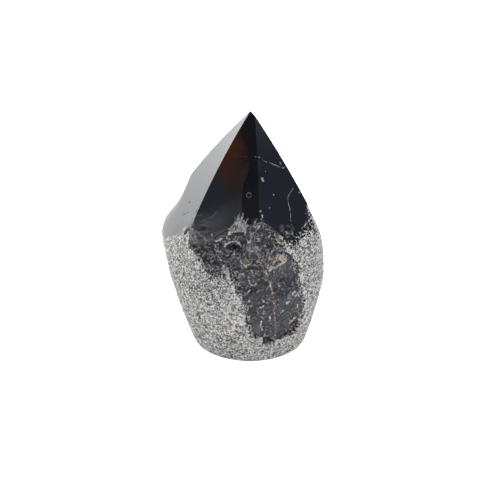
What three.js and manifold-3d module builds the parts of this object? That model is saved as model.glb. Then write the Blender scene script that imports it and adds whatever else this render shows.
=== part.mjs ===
// A polished agate point: a natural nodule with a flat cut base, whose top is ground to a
// six-sided point and whose front is chipped open below the polished faces.
// Millimetres, +Z up, the cut base on z = 0. Azimuth 0 faces the front (-Y), and 90 faces +X.

import * as THREE from 'three';
import { mergeVertices } from 'three/addons/utils/BufferGeometryUtils.js';
import Module from 'manifold-3d';

const wasm = await Module();
wasm.setup();

// Driving dimensions

const HEIGHT = 85; // cut base to polished tip
const TIP = { x: 2.93, y: -0.84 }; // the vertical through the tip, from the middle of the stone's box

// The rough body: mean radius about the tip's vertical at each height
const BODY_PROFILE = [
  { up: 0, radius: 20 },
  { up: 3, radius: 21 },
  { up: 9, radius: 22.8 },
  { up: 16, radius: 24.6 },
  { up: 24, radius: 26 },
  { up: 32, radius: 25.7 },
  { up: 40, radius: 25.2 },
  { up: 46, radius: 24.3 },
  { up: 52, radius: 23.3 },
  { up: 60, radius: 22 },
  { up: 90, radius: 20 },
];
const LEAN = 0.052; // sideways drift of the body to the left, per mm of height
const BASE_EDGE = { width: 0.4, height: 1.5 }; // worn round edge of the cut base

// Lumps of the body: middle, spread in degrees and in mm of height, and rise (a hollow is negative)
const LUMPS = [
  { name: 'left back shoulder', azimuth: -118.5, up: 37.5, wide: 27.5, tall: 13.4, rise: 8 },
  { name: 'left neck', azimuth: -124, up: 55.5, wide: 24.7, tall: 11.4, rise: -2.3 },
  { name: 'right shoulder', azimuth: 72, up: 38.6, wide: 12, tall: 18.5, rise: 2.85 },
  { name: 'right neck', azimuth: 97, up: 53.3, wide: 27.6, tall: 4.6, rise: -2.3 },
  { name: 'front flat', azimuth: -60, up: 46.6, wide: 71, tall: 12, rise: -3.2 },
  { name: 'back swell', azimuth: 168, up: 31, wide: 36, tall: 13, rise: 2 },
  { name: 'back dimple', azimuth: 140, up: 24, wide: 15, tall: 7, rise: -1.4 },
  { name: 'low back dimple', azimuth: -162, up: 12, wide: 16, tall: 6, rise: -1.1 },
  { name: 'back neck', azimuth: 178, up: 50, wide: 24, tall: 7, rise: -1.6 },
];

// Polished faces of the point: where each faces, how fast it spreads below the tip, how far out it
// starts, and its crown, which makes it very slightly convex
const FACES = [
  { name: 'left', azimuth: -73, flare: 0.747, start: 0, crown: 0.0049 },
  { name: 'front', azimuth: -27.5, flare: 0.665, start: 0, crown: 0.0049 },
  { name: 'right', azimuth: 42.2, flare: 0.64, start: 1.5, crown: 0.0049 },
  { name: 'back right', azimuth: 119.4, flare: 0.487, start: 0, crown: 0.003 },
  { name: 'back', azimuth: 170, flare: 0.66, start: 0, crown: 0.0049 },
  { name: 'back left', azimuth: -153, flare: 0.742, start: 0, crown: 0.0049 },
];

// The window where the rind is chipped away, drawn on the unrolled front: mm along the girth from
// the front line, to the right, and mm up
const GIRTH_RADIUS = 24;
const WINDOW_DEPTH = 0.7;
const WINDOW_OUTLINE = [
  [-24, 41.5], [-19.5, 39.5], [-17, 37], [-13, 34], [-11.5, 35], [-8, 37], [-5.5, 33],
  [-4, 29], [-2, 25], [-1.5, 18], [0, 12.5], [4, 10.5], [4.5, 7.5], [10, 7], [10.5, 9],
  [15.5, 9], [19.5, 11], [20.5, 14], [21.5, 20], [17.5, 27], [17.5, 35], [16, 40.5],
  [13.5, 43], [11, 47.3], [10.5, 49], [7, 52], [4, 53.7], [1, 53], [-1.5, 51.5],
  [-3, 51], [-8, 49], [-13, 47], [-18, 44.5],
];

// Shell-shaped scoops: middle on the unrolled girth, radius, depth, and how far each faces up, in
// degrees. They are cut into the floor of the window, inside its outline.
const WINDOW_SCOOPS = [
  { name: 'upper left flake', along: -16, up: 42, radius: 6.5, depth: 0.8, faces: 16 },
  { name: 'left flake', along: -8, up: 39, radius: 5.5, depth: 0.8, faces: 8 },
  { name: 'under the rim', along: -5, up: 47.5, radius: 4.6, depth: 0.9, faces: 22 },
  { name: 'dark hollow', along: -7, up: 44.8, radius: 2.5, depth: 1.6, faces: 26 },
  { name: 'dark hollow, right end', along: -4.2, up: 44.3, radius: 2.2, depth: 1.3, faces: 20 },
  { name: 'upper middle flake', along: 3.5, up: 47.5, radius: 6.5, depth: 0.9, faces: 24 },
  { name: 'middle flake', along: 1.5, up: 41.5, radius: 4.2, depth: 0.5, faces: 12 },
  { name: 'upper right flake', along: 10, up: 45.5, radius: 5.5, depth: 0.9, faces: 18 },
  { name: 'step below the hollow', along: -0.5, up: 34.2, radius: 4.4, depth: 1.3, faces: -6 },
  { name: 'step, right end', along: 3.6, up: 34.8, radius: 3.6, depth: 1.1, faces: -4 },
  { name: 'pale pocket, low end', along: 7.8, up: 39, radius: 1.9, depth: 0.9, faces: 0 },
  { name: 'pale pocket', along: 10.2, up: 40.5, radius: 2.2, depth: 1.1, faces: 0 },
  { name: 'pale pocket, high end', along: 12.6, up: 41.8, radius: 1.5, depth: 0.8, faces: 4 },
  { name: 'right flake', along: 13, up: 34.5, radius: 7, depth: 0.9, faces: 4 },
  { name: 'lower middle flake', along: 3, up: 26.5, radius: 6.5, depth: 0.9, faces: -2 },
  { name: 'low right flake', along: 14, up: 22, radius: 8, depth: 1, faces: -8 },
  { name: 'low left flake', along: 3.5, up: 16.5, radius: 6, depth: 0.9, faces: -14 },
  { name: 'low middle flake', along: 11, up: 13, radius: 5, depth: 0.8, faces: -16 },
  { name: 'low notch', along: 7.3, up: 8.4, radius: 2.8, depth: 1.5, faces: -20 },
  { name: 'low right hollow', along: 17.6, up: 15.5, radius: 2.6, depth: 1.6, faces: -10 },
  { name: 'low right hollow, low end', along: 18.2, up: 12.6, radius: 1.8, depth: 1.2, faces: -14 },
  { name: 'lowest right hollow', along: 15.6, up: 9.8, radius: 2.1, depth: 1.3, faces: -16 },
];

// Chips outside the window
const CHIPS = [
  { name: 'chip in the right face', along: 14.5, up: 48.3, radius: 2.6, depth: 0.3, faces: 24 },
  { name: 'chip in the right face, right end', along: 17.4, up: 48.8, radius: 1.9, depth: 0.25, faces: 24 },
  { name: 'back flake', along: 60, up: 37, radius: 5.5, depth: 1.1, faces: 8 },
  { name: 'back flake, low end', along: 64.5, up: 31.5, radius: 3.8, depth: 0.9, faces: 2 },
  { name: 'left back flake', along: -61, up: 17, radius: 4.5, depth: 1, faces: -18 },
];

// How finely round things are divided
const BODY_COLUMNS = 72;
const BODY_ROW = 2.3; // height of one row of the body's faces
const FACE_BANDS = 5; // flat bands that stand for one slightly convex face
const SCOOP_SIDES = 16;
const SCOOP_RINGS = 4;
const EDGE_ROWS = [0, 0.2, 0.6]; // heights of the rows that round the edge of the base
const WELD = 1e-4; // points nearer to each other than this are one point

// Sizes of the tools that cut the stone, which only have to reach past it
const GRINDER = { depth: 60, width: 160, below: -5, above: HEIGHT + 20 };
const WEDGE = { from: 6, depth: 50 };
const PLUG = { spread: 1.6, tail: 6 }; // a plug goes on past its scoop's rim, and then straight out

const radians = THREE.MathUtils.degToRad;

// Cubic curve through (at, value) points, with each slope taken from the points on both sides.
function smoothCurve(points, at) {
  const last = points.length - 1;
  const slope = (i) => {
    const before = points[Math.max(i - 1, 0)];
    const after = points[Math.min(i + 1, last)];
    return (after.radius - before.radius) / (after.up - before.up);
  };
  let i = 0;
  while (i < last - 1 && points[i + 1].up < at) i += 1;
  const from = points[i];
  const to = points[i + 1];
  const span = to.up - from.up;
  const s = (at - from.up) / span;
  const rest = 1 - s;
  return (
    from.radius * (1 + 2 * s) * rest * rest +
    to.radius * s * s * (3 - 2 * s) +
    span * s * rest * (slope(i) * rest - slope(i + 1) * s)
  );
}

// Radius of the rough body about the tip's vertical, in one direction at one height.
function bodyRadius(azimuth, up) {
  let radius = smoothCurve(BODY_PROFILE, up) - LEAN * up * Math.sin(azimuth);
  for (const lump of LUMPS) {
    const away = azimuth - radians(lump.azimuth);
    const turn = Math.atan2(Math.sin(away), Math.cos(away));
    const across = turn / radians(lump.wide);
    const above = (up - lump.up) / lump.tall;
    radius += lump.rise * Math.exp(-across * across - above * above);
  }
  const edge = THREE.MathUtils.clamp(1 - up / BASE_EDGE.height, 0, 1);
  return radius - BASE_EDGE.width * (1 - Math.sqrt(1 - edge * edge));
}

// Distance of a polished face from the tip's vertical at one height.
function faceDistance(face, up) {
  const drop = HEIGHT - up;
  return face.start + face.flare * drop * (1 - face.crown * drop);
}

// Radius of the stone before anything is chipped off it. A face that points nearly sideways or away
// doesn't limit it.
const SIDEWAYS = 0.05;
function skinRadius(azimuth, up) {
  let radius = bodyRadius(azimuth, up);
  for (const face of FACES) {
    const toward = Math.cos(azimuth - radians(face.azimuth));
    if (toward > SIDEWAYS) radius = Math.min(radius, faceDistance(face, up) / toward);
  }
  return radius;
}

// A direction from the tip's vertical, and the point at a radius and height in that direction.
const outward = (azimuth) => new THREE.Vector3(Math.sin(azimuth), -Math.cos(azimuth), 0);
const pointAt = (azimuth, radius, up) => outward(azimuth).multiplyScalar(radius).setZ(up);

// A solid for cutting and joining, from a closed geometry. Faces squeezed to a line are left out.
function solidOf(geometry) {
  const bare = new THREE.BufferGeometry();
  bare.setAttribute('position', geometry.attributes.position);
  bare.setIndex(geometry.index);
  const merged = mergeVertices(bare, WELD);
  const corners = merged.index.array;
  const triVerts = [];
  for (let i = 0; i < corners.length; i += 3) {
    const [a, b, c] = corners.subarray(i, i + 3);
    if (a !== b && b !== c && c !== a) triVerts.push(a, b, c);
  }
  const vertProperties = new Float32Array(merged.attributes.position.array);
  const mesh = new wasm.Mesh({ numProp: 3, vertProperties, triVerts: new Uint32Array(triVerts) });
  return new wasm.Manifold(mesh);
}

// The rough body: a cylinder of radius 1 from the lathe, whose wall is pushed out to the lumpy radius.
function roughBody(inset) {
  const top = BODY_PROFILE[BODY_PROFILE.length - 1].up;
  const heights = [...EDGE_ROWS, BASE_EDGE.height];
  for (let up = BASE_EDGE.height + BODY_ROW; up < top; up += BODY_ROW) heights.push(up);
  const profile = heights.map((up) => new THREE.Vector2(1, up));
  const turned = new THREE.LatheGeometry(
    [new THREE.Vector2(0, 0), ...profile, new THREE.Vector2(1, top), new THREE.Vector2(0, top)],
    BODY_COLUMNS,
  );
  turned.rotateX(Math.PI / 2);
  const place = turned.attributes.position;
  for (let i = 0; i < place.count; i += 1) {
    const onWall = Math.hypot(place.getX(i), place.getY(i)) > 0.5;
    if (onWall) {
      const azimuth = Math.atan2(place.getX(i), -place.getY(i));
      const spot = pointAt(azimuth, bodyRadius(azimuth, place.getZ(i)) - inset, place.getZ(i));
      place.setXYZ(i, spot.x, spot.y, spot.z);
    }
  }
  return solidOf(turned);
}

// Everything behind one polished face: its slightly convex side view, extruded right across.
function behindFace(face, inset) {
  const { depth, width, below, above } = GRINDER;
  const side = new THREE.Shape();
  side.moveTo(-depth, below);
  for (let band = 0; band <= FACE_BANDS; band += 1) {
    const up = THREE.MathUtils.lerp(below, HEIGHT, band / FACE_BANDS);
    side.lineTo(faceDistance(face, up) - inset, up);
  }
  side.lineTo(face.start - inset - face.flare * (above - HEIGHT), above);
  side.lineTo(-depth, above);
  const slab = new THREE.ExtrudeGeometry(side, { depth: width, bevelEnabled: false, steps: 1 });
  slab.translate(0, 0, -width / 2);
  const out = outward(radians(face.azimuth));
  const upright = new THREE.Vector3(0, 0, 1);
  slab.applyMatrix4(new THREE.Matrix4().makeBasis(out, upright, out.clone().cross(upright)));
  return solidOf(slab);
}

// The stone ground to its point, all round smaller by the inset.
function groundStone(inset) {
  let stone = roughBody(inset);
  for (const face of FACES) stone = stone.intersect(behindFace(face, inset));
  return stone;
}

// The window's outline as a wedge out of the tip's vertical, wrapped round the girth.
function windowWedge() {
  const outline = new THREE.Shape(WINDOW_OUTLINE.map(([along, up]) => new THREE.Vector2(along, up)));
  const wedge = new THREE.ExtrudeGeometry(outline, { depth: WEDGE.depth, bevelEnabled: false, steps: 1 });
  const place = wedge.attributes.position;
  for (let i = 0; i < place.count; i += 1) {
    const spot = pointAt(place.getX(i) / GIRTH_RADIUS, WEDGE.from + place.getZ(i), place.getY(i));
    place.setXYZ(i, spot.x, spot.y, spot.z);
  }
  return solidOf(wedge);
}

// One scoop: a plug whose rounded end is part of a sphere, set into the surface or the floor below it.
function scoopPlug(scoop, floor) {
  const azimuth = scoop.along / GIRTH_RADIUS;
  const sphere = (scoop.radius ** 2 + scoop.depth ** 2) / (2 * scoop.depth);
  const rimTurn = Math.asin(Math.min(1, scoop.radius / sphere));
  const reach = Math.min(rimTurn * PLUG.spread, Math.PI / 2);
  const profile = [];
  for (let ring = 0; ring <= SCOOP_RINGS; ring += 1) {
    const turn = (reach * ring) / SCOOP_RINGS;
    profile.push(new THREE.Vector2(sphere * Math.sin(turn), sphere * (1 - Math.cos(turn))));
  }
  const rim = profile[profile.length - 1];
  const plug = new THREE.LatheGeometry(
    [...profile, new THREE.Vector2(rim.x, rim.y + PLUG.tail), new THREE.Vector2(0, rim.y + PLUG.tail)],
    SCOOP_SIDES,
  );
  const tilt = radians(scoop.faces);
  const axis = outward(azimuth).multiplyScalar(Math.cos(tilt)).setZ(Math.sin(tilt));
  const bottom = pointAt(azimuth, skinRadius(azimuth, scoop.up) - floor, scoop.up);
  bottom.addScaledVector(axis, -scoop.depth);
  plug.applyQuaternion(new THREE.Quaternion().setFromUnitVectors(new THREE.Vector3(0, 1, 0), axis));
  plug.translate(bottom.x, bottom.y, bottom.z);
  return solidOf(plug);
}

// The finished stone as a geometry with flat faces.
function agateGeometry() {
  let windowFloor = groundStone(WINDOW_DEPTH);
  for (const scoop of WINDOW_SCOOPS) windowFloor = windowFloor.subtract(scoopPlug(scoop, WINDOW_DEPTH));
  let stone = groundStone(0).subtract(windowWedge().subtract(windowFloor));
  for (const chip of CHIPS) stone = stone.subtract(scoopPlug(chip, 0));
  const mesh = stone.getMesh();
  const geometry = new THREE.BufferGeometry();
  geometry.setAttribute('position', new THREE.BufferAttribute(mesh.vertProperties, 3));
  geometry.setIndex(new THREE.BufferAttribute(mesh.triVerts, 1));
  return geometry;
}

const agateStone = new THREE.MeshStandardMaterial({
  color: 0x6f6e6c,
  roughness: 0.5,
  metalness: 0,
  flatShading: true,
});

const agate = new THREE.Mesh(agateGeometry(), agateStone);
agate.name = 'agate';
agate.position.set(TIP.x, TIP.y, 0);

const model = new THREE.Group();
model.add(agate);

export default model;
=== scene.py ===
# %% [markdown]
# # A polished agate point
#
# The real thing is one stone. It grew as a nodule of very fine quartz with a gritty grey rind.
# Someone sawed it flat so that it stands, ground the top to six flat faces that meet in a point,
# and polished them. At the front a piece of the rind had broken away below the faces.
#
# Three finishes meet on it: glassy polish, broken agate and rind. They run into each other along
# ragged borders, so the stone is one closed mesh with one material, and the mesh carries
# the borders as attributes that the material reads.

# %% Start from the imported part
import functools
import math

import bpy
import numpy as np
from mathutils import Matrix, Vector


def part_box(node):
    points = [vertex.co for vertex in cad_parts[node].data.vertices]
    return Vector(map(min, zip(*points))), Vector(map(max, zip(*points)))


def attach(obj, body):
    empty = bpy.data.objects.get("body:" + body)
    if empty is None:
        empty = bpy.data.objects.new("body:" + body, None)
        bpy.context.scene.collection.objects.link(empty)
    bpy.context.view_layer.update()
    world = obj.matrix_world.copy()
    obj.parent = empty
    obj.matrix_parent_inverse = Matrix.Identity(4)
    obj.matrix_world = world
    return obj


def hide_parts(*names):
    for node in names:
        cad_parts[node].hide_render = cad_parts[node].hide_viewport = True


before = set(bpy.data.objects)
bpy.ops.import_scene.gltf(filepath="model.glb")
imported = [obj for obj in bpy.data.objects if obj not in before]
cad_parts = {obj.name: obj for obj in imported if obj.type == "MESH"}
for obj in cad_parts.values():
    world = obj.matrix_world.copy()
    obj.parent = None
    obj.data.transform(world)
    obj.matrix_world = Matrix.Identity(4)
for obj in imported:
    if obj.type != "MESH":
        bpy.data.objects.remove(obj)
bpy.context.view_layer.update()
MM = 0.001  # one millimetre in Blender's metres

# %% [markdown]
# ## The camera
#
# A long lens half a metre away keeps the stone's sides nearly parallel, as in a product photo. The
# camera looks down by 25 degrees, from straight in front.

# %% Aim the camera
AIM = Vector((-0.5, -5.9, 39.7)) * MM
LOOK_DOWN = math.radians(25.17)
LOOK_LEFT = math.radians(0.47)
AWAY = 460 * MM
LENS = 100  # focal length in mm
FILM_WIDTH = 36  # in mm

looking = Vector((
    -math.sin(LOOK_LEFT) * math.cos(LOOK_DOWN),
    math.cos(LOOK_LEFT) * math.cos(LOOK_DOWN),
    -math.sin(LOOK_DOWN),
))
camera = bpy.data.objects.new("camera", bpy.data.cameras.new("camera"))
camera.data.lens = LENS
camera.data.sensor_width = FILM_WIDTH
camera.location = AIM - looking * AWAY
camera.rotation_euler = looking.to_track_quat("-Z", "Y").to_euler()
bpy.context.scene.collection.objects.link(camera)
bpy.context.scene.camera = camera
print("camera at, in mm:", [round(place / MM, 1) for place in camera.location])

# %% [markdown]
# ## The plain stone: a body and six faces
#
# Every point of the stone is given by a direction round the vertical line through the tip
# (azimuth 0 faces the front, 90 the right) and a height. A function tells how far out the surface
# lies there: the nearer of the rough body and the polished faces. Such a function is easy to
# change, and it can be asked for whole arrays of directions and heights at once.

# %% Sizes of the stone, in millimetres
HEIGHT = 85.0
TIP = np.array([2.93, -0.84])  # where the tip's vertical stands
BODY_UP = [0, 3, 9, 16, 24, 32, 40, 46, 52, 60, 90]
BODY_RADIUS = [20, 21, 22.8, 24.6, 26, 25.7, 25.2, 24.3, 23.3, 22, 20]
LEAN = 0.052  # sideways drift to the left, per mm of height
BASE_EDGE_WIDTH = 0.4
BASE_EDGE_HEIGHT = 1.5

# Lumps: azimuth, height, spread in degrees, spread in mm of height, rise (a hollow is negative)
LUMPS = {
    "left back shoulder": (-118.5, 37.5, 27.5, 13.4, 8),
    "left neck": (-124, 55.5, 24.7, 11.4, -2.3),
    "right shoulder": (72, 38.6, 12, 18.5, 2.85),
    "right neck": (97, 53.3, 27.6, 4.6, -2.3),
    "front flat": (-60, 46.6, 71, 12, -3.2),
    "back swell": (168, 31, 36, 13, 2),
    "back dimple": (140, 24, 15, 7, -1.4),
    "low back dimple": (-162, 12, 16, 6, -1.1),
    "back neck": (178, 50, 24, 7, -1.6),
}

# Faces: azimuth, spread per mm below the tip, how far out it starts, crown
FACES = {
    "left": (-73, 0.747, 0, 0.0049),
    "front": (-27.5, 0.665, 0, 0.0049),
    "right": (42.2, 0.64, 1.5, 0.0049),
    "back right": (119.4, 0.487, 0, 0.003),
    "back": (170, 0.66, 0, 0.0049),
    "back left": (207, 0.742, 0, 0.0049),
}


# %% The rough body
def smooth_curve(at_points, values, at):
    """A cubic curve through the points: between two of them it is their cubic blend with the
    slope at each end taken from the points on both sides."""
    at_points = np.asarray(at_points, float)
    values = np.asarray(values, float)
    last = len(values) - 1
    before = np.maximum(np.arange(last + 1) - 1, 0)
    after = np.minimum(np.arange(last + 1) + 1, last)
    slopes = (values[after] - values[before]) / (at_points[after] - at_points[before])
    i = np.clip(np.searchsorted(at_points, at) - 1, 0, last - 1)
    span = at_points[i + 1] - at_points[i]
    s = (at - at_points[i]) / span
    rest = 1 - s
    ends = values[i] * (1 + 2 * s) * rest**2 + values[i + 1] * s**2 * (3 - 2 * s)
    return ends + span * s * rest * (slopes[i] * rest - slopes[i + 1] * s)


def turn_between(azimuth, middle):
    """Angle from one direction to another, in degrees from -180 to 180."""
    return (azimuth - middle + 180) % 360 - 180


def body_radius(azimuth, up):
    """Mean radius at this height, less the lean times height times sine of azimuth, plus one
    bell-shaped lump each, less the quarter round of the base's edge."""
    radius = smooth_curve(BODY_UP, BODY_RADIUS, up) - LEAN * up * np.sin(np.radians(azimuth))
    for middle, middle_up, wide, tall, rise in LUMPS.values():
        across = turn_between(azimuth, middle) / wide
        radius = radius + rise * np.exp(-across**2 - ((up - middle_up) / tall) ** 2)
    edge = np.clip(1 - up / BASE_EDGE_HEIGHT, 0, 1)
    return radius - BASE_EDGE_WIDTH * (1 - np.sqrt(1 - edge**2))


print("body radius at the front, 30 mm up:", round(float(body_radius(0.0, 30.0)), 2), "mm")

# %% The polished faces
NO_FACE = 1000.0  # farther out than any face
LEAST_COSINE = 0.05  # a face turned further away than this isn't met in this direction


def face_distance(face, up):
    """How far a face stands from the tip's vertical: its start plus its spread times the drop
    below the tip, bent in a little by the crown."""
    _, spread, start, crown = face
    drop = HEIGHT - up
    return start + spread * drop * (1 - crown * drop)


def faces_radius(azimuth, up, inset=0.0):
    """The nearest face in this direction: its distance divided by the cosine of the angle to it."""
    radius = np.full(np.broadcast(azimuth, up).shape, NO_FACE)
    for face in FACES.values():
        cosine = np.cos(np.radians(turn_between(azimuth, face[0])))
        reach = (face_distance(face, up) - inset) / np.maximum(cosine, LEAST_COSINE)
        radius = np.minimum(radius, np.where(cosine > LEAST_COSINE, reach, NO_FACE))
    return radius


def stone_radius(azimuth, up):
    """The plain stone: the nearer of the body and the faces."""
    return np.minimum(body_radius(azimuth, up), faces_radius(azimuth, up))


def to_space(azimuth, radius, up):
    """Points in space, in mm, from direction, radius and height."""
    turn = np.radians(azimuth)
    across = TIP[0] + radius * np.sin(turn)
    back = TIP[1] - radius * np.cos(turn)
    return np.stack([across, back, up + 0 * radius], -1)


def on_stone(azimuth, up):
    """The point of the plain stone in one direction at one height, in mm."""
    return tuple(to_space(azimuth, stone_radius(azimuth, up), up).tolist())


print("front of the stone, 30 mm up:", [round(c, 1) for c in on_stone(0.0, 30.0)])

# %% [markdown]
# ## Columns that follow the arrises
#
# A grid of directions and heights would saw across the sharp arrises between the faces. So the
# columns of the grid bend: at each height one column lies exactly on each arris, and the others
# share out the space between. The front half gets finer columns, because the broken window and its
# small chips are there.

# %% Where the arrises run
NECK = 40.0  # below this height the columns run straight down
LEAST_TURN = 0.4  # half the degrees kept between the right face's two arrises above its start


def arris_azimuth(one, other, up):
    """Direction in which two faces stand equally far out. For distances d1, d2 and azimuths a1, a2
    its tangent is (d2 cos a1 - d1 cos a2) / (d1 sin a2 - d2 sin a1)."""
    d1, d2 = face_distance(one, up), face_distance(other, up)
    a1, a2 = np.radians(one[0]), np.radians(other[0])
    turn = np.arctan2(d2 * np.cos(a1) - d1 * np.cos(a2), d1 * np.sin(a2) - d2 * np.sin(a1))
    return np.degrees(turn)


def arrises(up):
    """The six arrises at these heights, from the left one round by the front to the back."""
    up = np.maximum(up, NECK)
    ones = list(FACES.values())
    around = [arris_azimuth(one, other, up) for one, other in zip(ones, ones[1:] + ones[:1])]
    left_front, front_right, right_back, back_one, back_two, back_left = around
    # the right face starts below the tip, and above its start its two arrises are nearly one
    without_right = arris_azimuth(FACES["front"], FACES["back right"], up)
    front_right = np.minimum(front_right, without_right - LEAST_TURN)
    right_back = np.maximum(right_back, without_right + LEAST_TURN)
    return np.stack([back_left, left_front, front_right, right_back, back_one, back_two % 360], -1)


print("arrises 60 mm up, in degrees:", arrises(np.array(60.0)).round(1))

# %% Heights of the rows and the share of columns between arrises
FINE_ROW = 0.3
COARSE_ROW = 0.4
BASE_ROWS = [0, 0.12, 0.35, 0.7, 1.1]
FIRST_FINE, FIRST_COARSE = 1.5, 57.0
TIP_ROWS = [84.0, 84.3, 84.55, 84.75, 84.9]
row_up = np.concatenate([
    BASE_ROWS,
    np.arange(FIRST_FINE, FIRST_COARSE, FINE_ROW),
    np.arange(FIRST_COARSE, TIP_ROWS[0], COARSE_ROW),
    TIP_ROWS,
])

ARRIS_STRIP = 0.0006  # share of a face taken by the narrow strip beside its arris
# columns from each arris to the next, and how they crowd towards the first arris:
# left face, front, right, back right, back, back left
COLUMNS = ((74, 1.0), (84, 1.0), (80, 1.0), (38, 1.6), (28, 1.0), (38, 1.0))


def shares(columns, crowding):
    """Steps from 0 to 1 with a narrow step at both ends."""
    inner = np.linspace(ARRIS_STRIP, 1 - ARRIS_STRIP, columns - 1)
    return np.concatenate([[0], inner**crowding])


def column_azimuths(up):
    """Azimuth of every column at every height: from one arris to the next by equal shares."""
    corner = arrises(up)
    corner = np.concatenate([corner, corner[:, :1] + 360], axis=1)
    parts = []
    for i, (columns, crowding) in enumerate(COLUMNS):
        share = shares(columns, crowding)
        parts.append(corner[:, i, None] * (1 - share) + corner[:, i + 1, None] * share)
    return np.concatenate(parts, axis=1)


azimuth = column_azimuths(row_up)
up = np.broadcast_to(row_up[:, None], azimuth.shape)
print("grid:", azimuth.shape[0], "rows of", azimuth.shape[1], "columns")

# %% The plain stone on the grid
body = body_radius(azimuth, up)
faces = faces_radius(azimuth, up)
plain_radius = np.minimum(body, faces)
body_points = to_space(azimuth, body, up)
print("widest radius:", round(float(plain_radius.max()), 2), "mm")

# %% [markdown]
# ## Random relief without loops
#
# Natural surfaces need noise. Two kinds do most of the work: value noise, which is soft, and the
# nearest of many scattered seeds, which gives grains and flakes. Both are worked out for all
# points of the grid at once.

# %% Noise for whole arrays
FLAKE_STEP = 0.35  # how far one flake may stand above or below the others


def value_noise(points, cell, seed):
    """Random numbers from -1 to 1 on a cubic lattice, blended between the eight corners round each
    point by the smooth step 3t^2 - 2t^3."""
    size = 64
    lattice = np.random.default_rng(seed).uniform(-1, 1, (size, size, size))
    scaled = points / cell
    low = np.floor(scaled).astype(int)
    part = scaled - low
    ease = part**2 * (3 - 2 * part)
    total = np.zeros(points.shape[:-1])
    for corner in np.ndindex(2, 2, 2):
        weight = np.prod(np.where(corner, ease, 1 - ease), axis=-1)
        i, j, k = np.moveaxis((low + corner) % size, -1, 0)
        total += weight * lattice[i, j, k]
    return total


def with_noise(values, points, *waves):
    """The values plus soft noise, for each wave of (amount, cell, seed)."""
    for amount, cell, seed in waves:
        values = values + amount * value_noise(points, cell, seed)
    return values


def nearest_seed(points, cell, seed):
    """Each cube of the lattice holds one seed at a random place. Returns the vector from the nearest
    seed, in cells, and four random numbers from -1 to 1 that belong to that seed."""
    size = 32
    random = np.random.default_rng(seed)
    places = random.uniform(0, 1, (size, size, size, 3))
    own = random.uniform(-1, 1, (size, size, size, 4))
    scaled = points / cell
    low = np.floor(scaled).astype(int)
    nearest = np.full(points.shape[:-1], np.inf)
    away = np.zeros(points.shape)
    numbers = np.zeros(points.shape[:-1] + (4,))
    for step in np.ndindex(3, 3, 3):
        there = low + step - 1
        i, j, k = np.moveaxis(there % size, -1, 0)
        offset = scaled - there - places[i, j, k]
        distance = np.linalg.norm(offset, axis=-1)
        nearer = distance < nearest
        nearest = np.where(nearer, distance, nearest)
        away = np.where(nearer[..., None], offset, away)
        numbers = np.where(nearer[..., None], own[i, j, k], numbers)
    return away, numbers


def flakes(points, cell, seed):
    """Flat flakes: every point stands on the tilted plane of its nearest seed, so that the surface
    breaks in small steps where two seeds meet. Roughly -1 to 1."""
    away, numbers = nearest_seed(points, cell, seed)
    return (away * numbers[..., :3]).sum(-1) + FLAKE_STEP * numbers[..., 3]


print("mean of soft noise:", round(float(value_noise(body_points, 1.0, 1).mean()), 3))

# %% [markdown]
# ## The rind
#
# The rind of such a nodule is a crust of grit and tiny quartz grains, bumpy like coarse sandpaper.
# The grains are round bumps round scattered seeds, each with a height of its own. Soft noise on top
# keeps them from looking like a pattern, and slow swells keep the body from looking turned.

# %% Grain of the rind
GRAIN = 0.95  # size of one grain, mm
GRAIN_RISE = 0.2
SWELL_RISE = 0.22
LEVEL_AT = 0.55  # an average grain is level with the body this far from its seed, in grains
BUMP_SPREAD = 0.3
BUMP_SHARE, GRIT_SHARE = 0.75, 0.35
GRIT = 0.55  # size of the fine grit between the grains
SWELL_FADE = 2.5
FOOT_FADE = 2.0
FOOT_RELIEF = 0.15  # share of the relief that is left at the very foot


def fade_in(depth, width):
    """0 outside, rising evenly to 1 where the depth has reached this width."""
    return np.clip(depth / width, 0, 1)


from_seed, seed_numbers = nearest_seed(body_points, GRAIN, seed=11)
bumps = LEVEL_AT - np.linalg.norm(from_seed, axis=-1) + BUMP_SPREAD * seed_numbers[..., 0]
grain = BUMP_SHARE * bumps + GRIT_SHARE * value_noise(body_points, GRIT, seed=12)
swell = with_noise(0, body_points, (1, 7.0, 13), (0.6, 3.4, 14))
# the swells fade out where the faces begin, which keeps the border of the polish in its place
swell = swell * fade_in(faces - body, SWELL_FADE)
foot_fade = np.maximum(fade_in(up, FOOT_FADE), FOOT_RELIEF)
rind_relief = (GRAIN_RISE * grain + SWELL_RISE * swell) * foot_fade
print(f"rind relief: {rind_relief.min():.2f} to {rind_relief.max():.2f} mm")

# %% [markdown]
# ## The broken window
#
# Agate breaks like glass, in shallow shells. The window is drawn on the unrolled front of the
# stone: millimetres along the girth from the front line, and millimetres up. Inside its outline the
# rind is gone to a depth of under a millimetre, and shell-shaped scoops are cut into that floor,
# each a part of a sphere. Flat flakes of several sizes roughen what is left.

# %% The window's outline
GIRTH_RADIUS = 24.0  # radius on which the front is unrolled
WINDOW_DEPTH = 0.7
WINDOW_OUTLINE = np.array([
    (-24, 41.5), (-19.5, 39.5), (-17, 37), (-13, 34), (-11.5, 35), (-8, 37), (-5.5, 33),
    (-4, 29), (-2, 25), (-1.5, 18), (0, 12.5), (4, 10.5), (4.5, 7.5), (10, 7), (10.5, 9),
    (15.5, 9), (19.5, 11), (20.5, 14), (21.5, 20), (19.4, 28), (19.4, 33), (18.5, 37.5),
    (16.4, 40.5), (13.5, 43), (11, 47.3), (10.5, 49), (7, 52), (4, 53.7), (1, 53), (-1.5, 51.5),
    (-3, 50.5), (-8, 48.6), (-13, 46.2), (-18, 44.1),
])
TINY = 1e-9  # keeps a spot, whose line has no length, from dividing by nothing


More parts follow.
